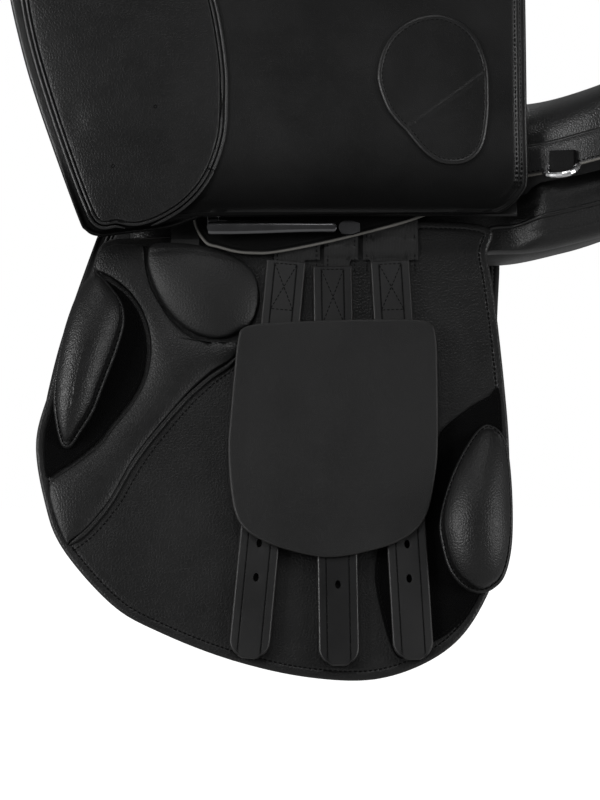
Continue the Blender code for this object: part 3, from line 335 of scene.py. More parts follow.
def add_cord(name, path, radius, look, body="saddle", sides=10):
    add_piece(name, [tube(path, radius, sides)], look, body=body, rings=True)


def round_seat(x, out=0.0, back=0.0, down=0.0):
    """Line along the seat's lower edge on one side, round its rear and back on the other,
    moved out at the sides, back at the rear, and down."""
    side = np.stack([x, seat_half(x) + out, seat_edge(x) - down], axis=1)
    rear = np.linspace(1, -1, 19)[1:-1, None] * (0, seat_half(SEAT_REAR), 0)
    rear = rear + (SEAT_REAR + back, 0, seat_edge(SEAT_REAR) - down)
    return np.concatenate([side, rear, side[::-1] * (1, -1, 1)])


add_cord("seat_welt", even(round_seat(seat_places(90), 0.0004, 0.0012, 0.0006), 320), 0.0017,
         smooth_leather)

# Band: a strip of leather round the cantle under the seat, drawn tight over the tree's edge
# and nailed, with a pale raw edge below and a row of stitches
BAND_FRONT, BAND_HEIGHT, BAND_POINTS = 0.088, 0.022, 300
band_x = BAND_FRONT + (SEAT_REAR - BAND_FRONT) * np.sin(0.5 * np.pi * np.linspace(0, 1, 90))
band_line = softened(even(round_seat(band_x), BAND_POINTS), 6)
band_along = np.gradient(band_line, axis=0)[:, :2]
band_out = np.stack([-band_along[:, 1], band_along[:, 0]], axis=1)
band_out /= np.linalg.norm(band_out, axis=1)[:, None]


def band_row(out, down):
    """The band's line moved outwards in plan by out and down by down."""
    return np.column_stack([band_line[:, :2] + out * band_out, band_line[:, 2] - down])


# how far each row of the band stands out, and how far down it is; the last three are raw
BAND_PROFILE = [(0.0008, 0.0012), (0.0026, 0.0010), (0.0036, 0.0030), (0.0038, 0.0060),
                (0.0037, 0.0110), (0.0036, 0.0170), (0.0034, 0.0200), (0.0033, 0.0216),
                (0.0024, 0.0221), (0.0008, 0.0219)]


def edged(look, colour, mark="rim", shade_dims_shine=False):
    """Adds a colour to a look where the piece's mark is 1: the real colour of a cut edge, or
    painted shade at a seam or a fold; painted shade may also lower the shine there."""
    before = look.shader.inputs["Base Color"].links[0].from_node
    at = look.node("Attribute", attribute_name=mark)
    mix = look.node("Mix", data_type="RGBA", b=(*colour, 1))
    look.link(at, "Fac", mix, "Factor")
    look.link(before, "Result", mix, "A")
    look.link(mix, "Result", look.shader, "Base Color")
    if shade_dims_shine:
        shine = look.math("MULTIPLY_ADD", (at, "Fac"), -0.38, 0.42)
        look.link(shine, "Value", look.shader, "Specular IOR Level")
    return look


band_leather = edged(
    leather("band_leather", (0.0035, 0.0035, 0.0037), 0.36, 620.0, 0.00014, 0.4, 0.1),
    (0.21, 0.20, 0.18))
add_piece("cantle_band", [np.stack([band_row(*place) for place in BAND_PROFILE], axis=1)],
          band_leather, ("seat_band",), rings=True,
          marks={"rim": np.tile(np.arange(len(BAND_PROFILE)) >= 7, BAND_POINTS)})


# Stitches: waxed linen thread pulled through the holes of an awl. Each is a small spindle
# that lies along its seam.
def stitches(name, path, facing, body="saddle", pitch=0.0034, length=0.0025, width=0.00042):
    """Spindles at even pitch along a path. Each has two tips and two rings of five points:
    centre + t (u length) + radius (cos a side + sin a facing), with facing the way the
    surface faces."""
    count = max(int(np.linalg.norm(np.diff(path, axis=0), axis=1).sum() / pitch), 1)
    places = even(path, count + 1)
    middle = (places[1:] + places[:-1]) / 2
    t = places[1:] - places[:-1]
    t /= np.linalg.norm(t, axis=1)[:, None]
    side = np.cross(t, np.broadcast_to(facing, t.shape))
    side /= np.linalg.norm(side, axis=1)[:, None]
    up = np.cross(side, t)
    k = np.arange(5)
    j = (k + 1) % 5
    a = np.concatenate([[0], *[np.linspace(0, 2 * np.pi, 5, endpoint=False)] * 2, [0]])
    u = np.repeat([-0.5, -0.28, 0.28, 0.5], [1, 5, 5, 1]) * length
    r = np.repeat([0, width, 0], [1, 10, 1])
    points = (middle[:, None] + u[None, :, None] * t[:, None]
              + (r * np.cos(a))[None, :, None] * side[:, None]
              + (r * np.sin(a))[None, :, None] * up[:, None])
    shift = (12 * np.arange(count))[:, None, None]
    faces = []
    for around in ((0 * k, 1 + k, 1 + j), (11 + 0 * k, 6 + j, 6 + k), (1 + k, 6 + k, 6 + j, 1 + j)):
        faces += (np.stack(around, axis=1)[None] + shift).reshape(-1, len(around)).tolist()
    placed(name, closed_mesh(name, points, faces), thread, body)


# Waxed linen: two plies seen as a fine slanting wave across each stitch
thread = Look(bpy.data.materials.new("black_thread"))
thread.tint(thread.texture("Wave", scale=900.0, distortion=2.0), "Fac", (0.0020, 0.0020, 0.0021),
            0.6, 1.3)
fill_in(thread.shader, roughness=0.85, specular_ior_level=0.12)
stitches("cantle_band_stitches", band_row(0.0040, 0.0190), (0.0, 0.0, 1.0))

# Rear and front panels: two long cushions of flocked wool in black leather. They bear the
# saddle on the horse's back, lie along the sweat flaps in front and leave the gullet between.
SPLAY = math.radians(17.0)
SWEAT_W = 0.100
SIDES = ((-1, "near"), (1, "off"))


def lay(side, w0, z0, tilt, x, s, h):
    """A leather's own plane in the saddle: s runs down the plane from (w0, z0) at the tilt
    from upright, h stands out of it, and side turns w into y."""
    x, s, h = np.broadcast_arrays(x, s, h)
    w = w0 + s * math.sin(tilt) + h * math.cos(tilt)
    z = z0 - s * math.cos(tilt) + h * math.sin(tilt)
    return np.stack([x, side * w, z], axis=-1)


def sides(w0=SWEAT_W, z0=0.0, tilts=None):
    """For each side: its sign, its name, a function that puts (x, s, h) of a leather's plane
    into the saddle, and the way the plane faces."""
    for side, label in SIDES:
        tilt = tilts[side] if tilts else SPLAY

        def put(x, s, h, side=side, tilt=tilt):
            return lay(side, w0, z0, tilt, x, s, h)
        yield side, label, put, np.array([0, side * math.cos(tilt), math.sin(tilt)])


PANEL_FRONT, PANEL_REAR, PANEL_SQUARE = -0.190, 0.272, 0.66
# half the thickness in front and at the rear; inner and outer edge, from the saddle's middle
FRONT_THICK, REAR_THICK, GULLET, PANEL_OUT = 0.015, 0.026, 0.034, 0.109


def panel_rings(side, count, around):
    """Sections of a panel: a rounded box (cos and sin to the power PANEL_SQUARE) of half
    length and half thickness that turns from standing along the flap to lying flat behind,
    and closes at both ends like the end of a bolster."""
    t = np.linspace(0, 1, count)
    t = t - 0.11 * np.sin(2 * np.pi * t)
    x = (PANEL_FRONT + (PANEL_REAR - PANEL_FRONT) * t)[:, None]
    end = np.minimum(np.minimum((x - PANEL_FRONT) / 0.050, (PANEL_REAR - x) / 0.045), 1)
    full = 0.06 + 0.94 * np.sqrt(np.clip(1 - (1 - np.maximum(end, 0)) ** 2, 0, 1))
    s_low = smooth_through([-0.19, -0.14, -0.05, 0.08], [0.030, 0.050, 0.035, 0.020], x)
    s_mid, s_half = (s_low - 0.050) / 2, (s_low + 0.050) / 2
    centre_h = -(0.0006 + FRONT_THICK)
    cw = SWEAT_W + s_mid * math.sin(SPLAY) + centre_h * math.cos(SPLAY)
    cz = -s_mid * math.cos(SPLAY) + centre_h * math.sin(SPLAY)
    outer = PANEL_OUT - 0.040 * ease((x - 0.19) / ((PANEL_REAR - PANEL_FRONT) * 0.20))
    rear_z = seat_edge(x) - BAND_HEIGHT - 0.0008 - REAR_THICK
    lie = ease((x + 0.030) / 0.105)
    cw = cw + ((GULLET + outer) / 2 - cw) * lie
    cz = cz + (rear_z - cz) * lie
    long = (s_half + ((outer - GULLET) / 2 - s_half) * lie) * (0.5 + 0.5 * full)
    thick = (FRONT_THICK + (REAR_THICK - FRONT_THICK) * lie) * full
    turn = (SPLAY - math.pi / 2) * (1 - lie) + math.radians(-4) * lie
    a = np.linspace(0, 2 * np.pi, around, endpoint=False)[None, :]
    u = long * np.sign(np.cos(a)) * np.abs(np.cos(a)) ** PANEL_SQUARE
    v = thick * np.sign(np.sin(a)) * np.abs(np.sin(a)) ** PANEL_SQUARE
    # seam: the two halves of the cover meet in a shallow valley along the panel's middle
    outside = np.exp(-((np.cos(a) - 0.97) / 0.035) ** 2)
    u = u - 0.0022 * outside * full
    w = cw + u * np.cos(turn) - v * np.sin(turn)
    z = cz + u * np.sin(turn) + v * np.cos(turn)
    out = (w - SWEAT_W) * math.cos(SPLAY) + z * math.sin(SPLAY)
    over = np.maximum(out + 0.0007, 0) * (1 - ease((x - 0.080) / 0.025))
    w, z = w - over * math.cos(SPLAY), z - over * math.sin(SPLAY)
    return np.stack(np.broadcast_arrays(x, side * w, z), axis=-1)


for side, label in SIDES:
    grid = panel_rings(side, 120, 72)
    add_piece("panel_cushion_" + label, [grid], grained_leather,
              ("panel_" + label,), rings=True, sharp=60)
    # Piping along the panel's outer seam, where facing and back leather meet
    add_cord("panel_piping_" + label, even(grid[8:-4, 0], 240), 0.0016, smooth_leather)

# Panel facing: the wall of soft leather that joins the panel's upper edge to the tree, set in
# behind the band. Cut from the same black hide and laced up along the tree.
# x, distance from the middle, lower and upper height, in millimetres
FACING_LINE = [
    (84, 93, 48, 77), (100, 96, 52, 81), (130, 99, 56, 86), (160, 99, 65, 96), (190, 97, 76, 104),
    (220, 87, 90, 117), (246, 71, 101, 129), (258, 57, 104, 132),
]
facing = even(np.array(FACING_LINE) / 1000, 60)
for side, label in SIDES:
    low, high = facing[:, :3] * (1, side, 1), facing[:, [0, 1, 3]] * (1, side, 1)
    depth = np.array([0, -0.0015 * side, 0])
    add_piece("panel_facing_" + label, [np.stack([low, high, high + depth, low + depth], axis=1)],
              smooth_leather, rings=True)


# Sweat flap: one thick grained leather that hangs from the tree under the straps. It is
# bound at its edge and stitched 6 mm in.
def smooth_loop(points, per=8):
    """Closed smooth curve through points in millimetres: uniform Catmull-Rom, in metres."""
    p = np.asarray(points, float) / 1000
    a, b, c, d = np.roll(p, 1, 0), p, np.roll(p, -1, 0), np.roll(p, -2, 0)
    t = (np.arange(per) / per)[None, :, None]
    a, b, c, d = a[:, None], b[:, None], c[:, None], d[:, None]
    q = (2 * b + (c - a) * t + (2 * a - 5 * b + 4 * c - d) * t ** 2
         + (3 * b - a - 3 * c + d) * t ** 3)
    return (q / 2).reshape(-1, 2)


def reach(points, loop):
    """Distance from each point to the nearest stretch of a closed line."""
    a, b = loop, np.roll(loop, -1, 0)
    ab = b - a
    size = np.maximum((ab ** 2).sum(1), 1e-18)
    out = np.empty(len(points))
    for first in range(0, len(points), 4000):
        p = points[first:first + 4000, None]
        t = np.clip(((p - a) * ab).sum(2) / size, 0, 1)
        out[first:first + 4000] = np.sqrt((((a + t[..., None] * ab) - p) ** 2).sum(2).min(1))
    return out


def across_rows(loop, fine, step=0.0030):
    """Grid over a cut leather: rows at even s, closer at both ends, each from the outline's
    left border to its right one, with columns at the fine distances from each border.
    Returns x, s and the distance to the outline."""
    fine = np.asarray(fine, float) / 1000
    low, high = loop[:, 1].min() + 1e-6, loop[:, 1].max() - 1e-6
    inner = np.linspace(low + fine[-1], high - fine[-1],
                        max(int((high - low - 2 * fine[-1]) / step), 2))
    rows = np.concatenate([low + fine[:-1], inner, (high - fine[:-1])[::-1]])
    a, b = loop, np.roll(loop, -1, 0)
    cross = (a[None, :, 1] <= rows[:, None]) != (b[None, :, 1] <= rows[:, None])
    rise = np.where(b[:, 1] == a[:, 1], 1, b[:, 1] - a[:, 1])
    at = a[None, :, 0] + (rows[:, None] - a[None, :, 1]) / rise * (b - a)[None, :, 0]
    left = np.where(cross, at, np.inf).min(1)
    right = np.where(cross, at, -np.inf).max(1)
    width = right - left
    scale = np.minimum(1, width / (2.05 * fine[-1]))[:, None]
    mid = np.linspace(0, 1, max(int(width.max() / step), 2))[None, :]
    edge_l = left[:, None] + fine[None, :-1] * scale
    edge_r = right[:, None] - fine[None, :-1][:, ::-1] * scale
    inside = ((left[:, None] + fine[-1] * scale) * (1 - mid)
              + (right[:, None] - fine[-1] * scale) * mid)
    x = np.concatenate([edge_l, inside, edge_r], axis=1)
    s = np.broadcast_to(rows[:, None], x.shape)
    d = reach(np.stack([x, s], axis=-1).reshape(-1, 2), loop).reshape(x.shape)
    d[0], d[-1], d[:, 0], d[:, -1] = 0, 0, 0, 0
    return x, s, d


FINE = (0, 0.12, 0.45, 0.95, 1.6, 2.4, 3.4, 4.4, 5.2, 5.8, 6.2, 6.6, 7.2, 8.0, 9.2, 11)


def round_edge(d, thick):
    """Share of half the thickness at a distance from the border: a quarter circle."""
    return np.sqrt(np.clip(1 - (1 - np.clip(d / (thick / 2), 0, 1)) ** 2, 0, 1))


def cut_leather(name, loop, put, low, high, look, nodes=(), body="saddle", face=None,
                under=None, fine=FINE, step=0.0030, marks=None):
    """A cut and dressed leather between two heights, with burnished round edges. face(x, s, d)
    and under(x, s, d) are added to its two faces and must be zero at the border."""
    x, s, d = across_rows(loop, fine, step)
    middle, half = (low + high) / 2, (high - low) / 2
    shape = half * round_edge(d, high - low)
    top = middle + shape + (face(x, s, d) if face else 0)
    bottom = middle - shape + (under(x, s, d) if under else 0)
    add_piece(name, [put(x, s, top), put(x, s, bottom)], look, nodes, body,
              marks=marks or {"rim": [d < 0.0007] * 2})


def groove(d, at, width=0.0010, deep=0.00045):
    """Round channel of a given depth where the distance to the border is at."""
    return -deep * np.exp(-((d - at) / width) ** 2)


def inside_line(loop, at, gap=0.97):
    """Line at a distance inside a closed outline: moved along the inward normals, less the
    points that came closer than that to another stretch of it."""
    along = np.roll(loop, -1, 0) - np.roll(loop, 1, 0)
    normal = np.stack([-along[:, 1], along[:, 0]], axis=1)
    normal /= np.linalg.norm(normal, axis=1)[:, None]
    area = (loop[:, 0] * np.roll(loop[:, 1], -1) - np.roll(loop[:, 0], -1) * loop[:, 1]).sum()
    moved = loop + normal * (at if area > 0 else -at)
    return moved[reach(moved, loop) > gap * abs(at)]


def round_seam(name, loop, at, count, put, height, facing, body="saddle", gap=0.97, **size):
    """Stitches all round a leather, at a distance inside its outline."""
    line = inside_line(loop, at, gap)
    line = even(np.concatenate([line, line[:1]]), count)
    stitches(name, put(*line.T, height), facing, body, **size)


def opened(line, count):
    """A closed line with points taken out, started after its widest gap and spaced evenly."""
    turn = np.argmax(np.linalg.norm(line - np.roll(line, 1, axis=0), axis=1))
    return even(np.roll(line, -turn, axis=0), count)


SWEAT_LINE = [
    (-206, -16), (-217, 9), (-230, 43), (-243, 92), (-252, 132), (-245, 175), (-232, 208),
    (-198, 247), (-166, 266), (-115, 286), (-61, 298), (-13, 298), (30, 279), (56, 246),
    (74, 195), (76, 140), (74, 94), (69, 33), (64, -4), (58, -29), (-60, -30), (-122, -28),
    (-132, -17), (-170, -17),
]
SWEAT_TOP, SWEAT_SEAM = 0.0045, 0.0060
sweat_leather = edged(
    leather("sweat_flap_leather", (0.0028, 0.0028, 0.0029), 0.43, 440.0, 0.00013, 0.08),
    (0.011, 0.0105, 0.010))


def bound(x, s, d):
    """Binding: the border stands up a little as far as its stitch line."""
    return groove(d, SWEAT_SEAM, 0.0009, 0.0005) - 0.0001 * ease((d - SWEAT_SEAM) / 0.0008)


sweat_loop = smooth_loop(SWEAT_LINE)
for side, label, put, out in sides():
    cut_leather("sweat_leather_" + label, sweat_loop, put, 0.0, SWEAT_TOP, sweat_leather,
                ("sweat_flap_" + label,), face=bound)
    round_seam("sweat_flap_stitches_" + label, sweat_loop, SWEAT_SEAM, 600, put,
               SWEAT_TOP - 0.00025, out)

# Knee pad: foam under soft grained leather over the whole front of the flap. It runs from
# the top, past the point pocket, down to a piped seam that slants to the front edge.
KNEE_LINE = [
    (-199, -12.5), (-189, -12), (-180, -11), (-177.5, 4), (-174, 18), (-167.5, 31),
    (-158, 45.5), (-145, 56.5), (-129, 61.5), (-115, 60), (-111.5, 65.5), (-116, 73),
    (-130, 82), (-146, 97), (-160, 113.5), (-173, 130), (-185, 147.5), (-198, 172.5),
    (-207, 185), (-217, 196.5), (-226, 203), (-229, 205), (-236, 190), (-241, 174), (-241, 162),
    (-233, 155.5), (-222.6, 148), (-206, 134), (-198.4, 123), (-184, 103.5), (-175.6, 84),
    (-173.6, 61), (-178.4, 40.5), (-188, 24.5), (-202, 12.5), (-212, 7), (-213, 0), (-208, -9),
]
# the cord under the pad's lower seam
KNEE_CORD = [(-110, 68), (-117, 77), (-131, 85.5), (-147, 100), (-161, 116.5), (-174, 133),
             (-186, 150.5), (-199, 175.5), (-208, 188), (-218, 199.5), (-227, 206)]
PAD_FINE = (0, 0.12, 0.4, 0.8, 1.2, 1.6, 2.0, 2.6, 3.2, 4.0, 5.0, 6.2, 7.5, 9, 11)
PAD_BASE = 0.0049


def swell(loop, x, s, d, cell=0.002):
    """Form of a stuffed leather: the height u of a skin held at its seam and blown up evenly,
    u_xx + u_ss = -1 inside the outline, by relaxation on a square grid. u / distance to the
    seam is smooth, so that ratio is read from the grid. Highest point is 1."""
    low, high = loop.min(0) - cell, loop.max(0) + 2 * cell
    gx, gs = np.arange(low[0], high[0], cell), np.arange(low[1], high[1], cell)
    px, ps = np.meshgrid(gx, gs, indexing="ij")
    a, b = loop, np.roll(loop, -1, 0)
    rise = np.where(b[:, 1] == a[:, 1], 1, b[:, 1] - a[:, 1])
    inside = np.zeros(px.shape, bool)
    for (ax, ay), (bx, by), r in zip(a, b, rise):
        inside ^= ((ay <= ps) != (by <= ps)) & (px < ax + (ps - ay) / r * (bx - ax))
    far = reach(np.stack([px, ps], -1).reshape(-1, 2), loop).reshape(px.shape)
    inside &= far > 0.3 * cell
    u = np.where(inside, far, 0)
    for _ in range(1500):
        u[1:-1, 1:-1] = np.where(inside[1:-1, 1:-1], (u[2:, 1:-1] + u[:-2, 1:-1] + u[1:-1, 2:]
                                 + u[1:-1, :-2] + cell * cell) / 4, 0)
    ratio = np.where(inside, u / np.maximum(far, 0.3 * cell), 0)
    for _ in range(12):
        total = sum(np.roll(ratio * inside, k, axis) for k in (1, -1) for axis in (0, 1))
        count = sum(np.roll(inside, k, axis) for k in (1, -1) for axis in (0, 1))
        ratio = np.where(inside & (far > 2 * cell), ratio, total / np.maximum(count, 1))
        inside = inside | (count > 0)
    fx, fs = (x - gx[0]) / cell, (s - gs[0]) / cell
    ix = np.clip(fx.astype(int), 0, len(gx) - 2)
    js = np.clip(fs.astype(int), 0, len(gs) - 2)
    tx, ts = fx - ix, fs - js
    read = ((1 - tx) * (1 - ts) * ratio[ix, js] + tx * (1 - ts) * ratio[ix + 1, js]
            + (1 - tx) * ts * ratio[ix, js + 1] + tx * ts * ratio[ix + 1, js + 1])
    return np.clip(read * d / u.max(), 0, 1)


def stuffed(u, d, high, full=0.5, lip=0.0012):
    """Height of a padded piece: a lip at its seam, then high times u to a power that is lower
    the fuller it is stuffed."""
    return lip * np.clip(d / 0.0008, 0, 1) ** 0.5 + (high - lip) * u ** full


def tapered(count):
    """Share of a cord's thickness along it: full, closing over six points at both ends."""
    place = np.arange(count)
    return np.sqrt(np.clip(np.minimum(place, place[::-1]) / 6, 0.1, 1))


knee_loop = smooth_loop(KNEE_LINE)
x, s, d = across_rows(knee_loop, PAD_FINE, 0.0022)
knee_top = PAD_BASE + stuffed(swell(knee_loop, x, s, d, 0.0012), d, 0.0062, 0.45, 0.0009)
knee_seam = even(softened(even(np.array(KNEE_LINE[10:22]) / 1000, 80), 5), 160)
along = np.gradient(knee_seam, axis=0)
along /= np.linalg.norm(along, axis=1)[:, None]
knee_cord = even(softened(even(np.array(KNEE_CORD) / 1000, 60), 4), 120)
for side, label, put, out in sides():
    add_piece("knee_padding_" + label, [put(x, s, knee_top), put(x, s, PAD_BASE)],
              grained_leather, ("knee_pad_" + label,), sharp=60)
    for number, away, height in ((1, 0.0016, 0.0064), (2, -0.0068, 0.0046)):
        line = knee_seam + away * np.stack([-along[:, 1], along[:, 0]], axis=1)
        stitches(f"knee_pad_stitches_{number}_{label}", put(*line.T, height), out,
                 width=0.00036)
    # piping: a raised cord under the leather along the pad's lower seam
    add_cord("knee_pad_piping_" + label, put(*knee_cord.T, 0.0047), 0.0020 * tapered(120),
             grained_leather)

# Hook-and-loop patches: black pile let into the flap before and behind the straps, to which
# the blocks are pressed. The pile is cells of loops, matt, with a dusty sheen in clumps.
hook_pile = Look(bpy.data.materials.new("hook_and_loop_pile"))
hook_pile.bump(hook_pile.texture("Voronoi", scale=1300.0), "Distance", 1.0, 0.0005)
hook_pile.tint(hook_pile.texture("Noise", scale=160.0, detail=6.0, roughness=0.7), "Fac",
               (0.0009, 0.0009, 0.0010), 0.6, 1.6)
fill_in(hook_pile.shader, roughness=0.95, specular_ior_level=0.07, sheen_weight=0.03)
PILE_LOW, PILE_HIGH = 0.0048, 0.0063
FRONT_PATCH_LINE = [
    (-214, 10), (-205, 14.5), (-190.5, 26), (-180.8, 41.2), (-176, 61.3), (-178, 83.5),
    (-186.4, 102), (-200.8, 121.4), (-208.2, 132), (-224.6, 146), (-235, 153), (-244, 157),
    (-246, 130), (-242, 110), (-231, 65), (-222, 35),
]
REAR_PATCH_LINE = [
    (70, 96), (62, 100), (50, 107), (35, 119), (28, 127), (8, 160), (-10, 195), (-18, 222),
    (-15, 250), (-4, 284), (12, 278), (34, 266), (53, 240), (68, 195), (71, 140),
]
for side, label, put, out in sides():
    for part, points in (("front", FRONT_PATCH_LINE), ("rear", REAR_PATCH_LINE)):
        loop = smooth_loop(points)
        cut_leather(f"{part}_pile_{label}", loop, put, PILE_LOW, PILE_HIGH, hook_pile,
                    (f"{part}_patch_{label}",), fine=PAD_FINE)
        round_seam(f"{part}_patch_stitches_{label}", loop, 0.0022, 300, put, PILE_HIGH,
                   out, width=0.00034)

# Knee and thigh blocks: stuffed teardrops of grained leather with a sewn flange, and hook
# tape on the back; each is pressed to its patch and pulls off
KNEE_BLOCK_LINE = [
    (-217, 12), (-225, 24), (-232, 44), (-237, 66), (-240, 90), (-240, 110), (-235, 134),
    (-228, 138), (-220, 126), (-212, 112), (-205, 92), (-197, 69), (-192, 50), (-192, 38),
    (-195, 29), (-203, 18), (-211, 10),
]
THIGH_BLOCK_LINE = [
    (62, 121), (70, 126), (75, 140), (77, 172), (76, 205), (71, 227), (63, 237), (52, 241),
    (41, 236), (32, 224), (27, 205), (26, 190), (30, 172), (38, 151), (48, 133), (56, 123),
]
BLOCK_BASE, FLANGE, FLANGE_HIGH = 0.0067, 0.0028, 0.0026
BLOCK_FINE = (0, 0.15, 0.5, 1.0, 1.6, 2.2, 2.7, 3.1, 3.6, 4.2, 5.2, 6.4, 7.8, 9.5, 12)
blocks = []
for part, points, high in (("knee", KNEE_BLOCK_LINE, 0.0225), ("thigh", THIGH_BLOCK_LINE, 0.0275)):
    loop = smooth_loop(points)
    x, s, d = across_rows(loop, BLOCK_FINE, 0.0018)
    u = np.clip((swell(loop, x, s, d, 0.0015) - 0.06) / 0.94, 0, 1) * (d > FLANGE)
    rise = FLANGE_HIGH * np.clip(d / 0.0012, 0, 1) ** 0.5 + (high - FLANGE_HIGH) * u ** 0.42
    blocks.append((part, loop, x, s, BLOCK_BASE + rise))
for side, label, put, out in sides():
    for part, loop, x, s, top in blocks:
        body = f"{part}_block_{label}"
        add_piece(f"{part}_stuffed_block_{label}", [put(x, s, top), put(x, s, BLOCK_BASE)],
                  grained_leather, (body,), body, sharp=60)
        round_seam(f"{part}_block_stitches_{label}", loop, 0.0019, 400, put,
                   BLOCK_BASE + 0.0027, out, body, 0.95, width=0.00036)

# Point pocket: a stuffed cover of grained leather over the end of the tree's point, sewn down
# round its border, with a seam across its top
POCKET_LINE = [
    (-171, -13), (-143, -12), (-118, -4), (-102, 8), (-97, 28), (-103, 47), (-118, 56.5),
    (-134, 57), (-150, 49.5), (-164, 34), (-173.5, 14), (-176.5, -3),
]
pocket_loop = smooth_loop(POCKET_LINE)
pocket_leather = leather("pocket_leather", (0.0027, 0.0027, 0.0028), 0.54, 480.0, 0.00012, 0.08)
x, s, d = across_rows(pocket_loop, BLOCK_FINE, 0.0018)
# a shallow seam runs across the pocket, 5 to 11 mm below its top border
seam_s = -0.012 + 0.006 * ease((x + 0.150) / 0.040) + 0.0065
seam = -0.0007 * np.exp(-((s - seam_s) / 0.0009) ** 2) * ease(d / 0.004)
top = PAD_BASE + stuffed(swell(pocket_loop, x, s, d, 0.0015), d, 0.0118, 0.46, 0.0010) + seam
# the slot for the point stays open: the cover is a shell over it
slot = ease((0.0117 - np.abs(x + 0.150)) / 0.0008) * ease((0.0325 - s) / 0.0008)
low = np.minimum(PAD_BASE + slot * 0.0038, top - 0.0002 * (d > 0))
for side, label, put, out in sides():
    add_piece("point_pocket_cover_" + label, [put(x, s, top), put(x, s, low)], pocket_leather,
              ("point_pocket_" + label,), sharp=60)
    round_seam("pocket_stitches_" + label, pocket_loop, 0.0016, 260, put, 0.0064, out,
               gap=0.95, width=0.00034)

# Bar shield: a stiff smooth leather between the stirrup bar and the straps, cut with a pale
# raw edge that shows below the fold of the flap
SHIELD_LINE = [
    (-144, -27), (-136, -12), (-126, -8), (-113, -4.5), (-101, -3.5), (-88, -4), (-62, -9),
    (-37, -15), (-11, -22), (9, -28), (28, -36), (38, -44), (30, -50), (-50, -50),
    (-130, -50), (-142, -44),
]
shield_loop = smooth_loop(SHIELD_LINE)
shield_rim = np.clip(1.6 - across_rows(shield_loop, FINE)[2] / 0.0011, 0, 1)
# painted shade: the shield's leather has a darker base and much less shine than the other leathers,
# for the shade under the flap's fold
shaded_shield_leather = edged(
    leather("shaded_shield_leather", (0.0018, 0.0018, 0.0018), 0.60, 1400.0, 0.00005, 0.6, 0.0, 0.08),
    (0.16, 0.155, 0.145))
for side, label, put, out in sides():
    cut_leather("bar_shield_leather_" + label, shield_loop, put, 0.0084, 0.0109, shaded_shield_leather,
                ("bar_shield_" + label,),
                face=lambda x, s, d: groove(d, 0.0036, 0.0006, 0.0003),
                marks={"rim": [shield_rim] * 2})

# Girth webs: three pieces of black webbing that come down from the tree over the panel and
# carry the straps. The wide rear one is doubled back on itself. The weave is the product of
# a wave along the web for its ribs and one across for its picks.
black_web = Look(bpy.data.materials.new("black_webbing"))
weave = black_web.math(
    "MULTIPLY",
    (black_web.texture("Wave", scale=300.0, distortion=0.6, bands_direction="X"), "Fac"),
    (black_web.texture("Wave", scale=420.0, distortion=0.8, bands_direction="Z"), "Fac"))
black_web.bump(weave, "Value", 1.0, 0.0004)
# painted shade and highlight: the colour follows the weave's height, darker where it is low and
# lighter on its ribs
black_web.tint(weave, "Value", (0.0052, 0.0052, 0.0054), 0.5, 1.7)
fill_in(black_web.shader, roughness=0.85, sheen_weight=0.08)
# a web's borders, the middle of its strap, and where its folded end bulges above the strap:
# upper end and height
WEBS = (("front", -0.0870, -0.0545, -0.0783, -0.0060, 0.0),
        ("middle", -0.0515, -0.0275, -0.0459, -0.0115, 0.0022),
        ("rear", -0.0240, 0.0150, -0.0055, -0.0175, 0.0026))
WEB_MIDDLE, WEB_HALF = 0.0057, 0.0009
v, u = np.linspace(0, 1, 96)[:, None], np.linspace(-1, 1, 33)[None, :]
edge = WEB_HALF * np.sqrt(np.clip(1 - u ** 8, 0, 1)) * (v > 0) * (v < 1)
for side, label, put, out in sides():
    for part, x0, x1, middle, start, rise in WEBS:
        x = (x0 + x1) / 2 + u * (x1 - x0) / 2
        # the web's end is rounded off beside the strap that is sewn over it
        beside = np.abs(x - middle) - 0.0095
        s = -0.083 + (0.093 - 0.0105 * ease(beside / 0.004)) * v
        along = np.abs((2 * s - start + 0.0020) / (start + 0.0020))
        fold = rise * np.sqrt(np.clip(1 - np.abs(u) ** 3 - along ** 3, 0, 1))
        add_piece(f"girth_webbing_{part}_{label}",
                  [put(x, s, WEB_MIDDLE + edge + fold), put(x, s, WEB_MIDDLE - edge)],
                  black_web, (f"girth_web_{part}_{label}",), sharp=70)
        for number, at in ((1, x0 + 0.0025), (2, x1 - 0.0025)):
            stitches(f"girth_web_stitches_{part}_{number}_{label}",
                     put(at, np.linspace(-0.02, 0.009, 12), WEB_MIDDLE + WEB_HALF), out,
                     width=0.00034)

# Girth straps: three straps of thick bridle leather, each with two creased lines, oval
# punched holes and box-and-cross stitching where it is folded over its web
STRAPS = (("front", -78.3, 0.0, 5.2), ("middle", -45.9, 4.0, -0.6), ("rear", -5.5, 0.0, -2.6))
STRAP_HALF, STRAP_LENGTH, STRAP_TOP, STRAP_BASE = 0.01375, 0.286, 0.0015, 0.0079
STRAP_MIDDLE, STRAP_SEAM, TONGUE = 0.0020, 0.0078, 0.012
STRAP_W, STRAP_Z = (SWEAT_W + STRAP_TOP * math.sin(SPLAY) + STRAP_BASE * math.cos(SPLAY),
                    -STRAP_TOP * math.cos(SPLAY) + STRAP_BASE * math.sin(SPLAY))
HOLE_V = STRAP_LENGTH - 0.056 - 0.024 * np.arange(5)
strap_leather = leather("strap_leather", (0.0060, 0.0060, 0.0062), 0.44, 1700.0, 0.00004, 0.7,
                        0.15)
strap_shine = leather("strap_leather_worn", (0.0048, 0.0048, 0.0050), 0.35, 1700.0, 0.00003,
                      0.7, 0.25)
# each strap look gets a paler cut edge, and painted shade along its creased stitch lines: the seam
# mark darkens the leather there and lowers its shine
for look in (strap_leather, strap_shine):
    edged(edged(look, (0.011, 0.0105, 0.010)), (0.0008, 0.0008, 0.0008), "seam", shade_dims_shine=True)


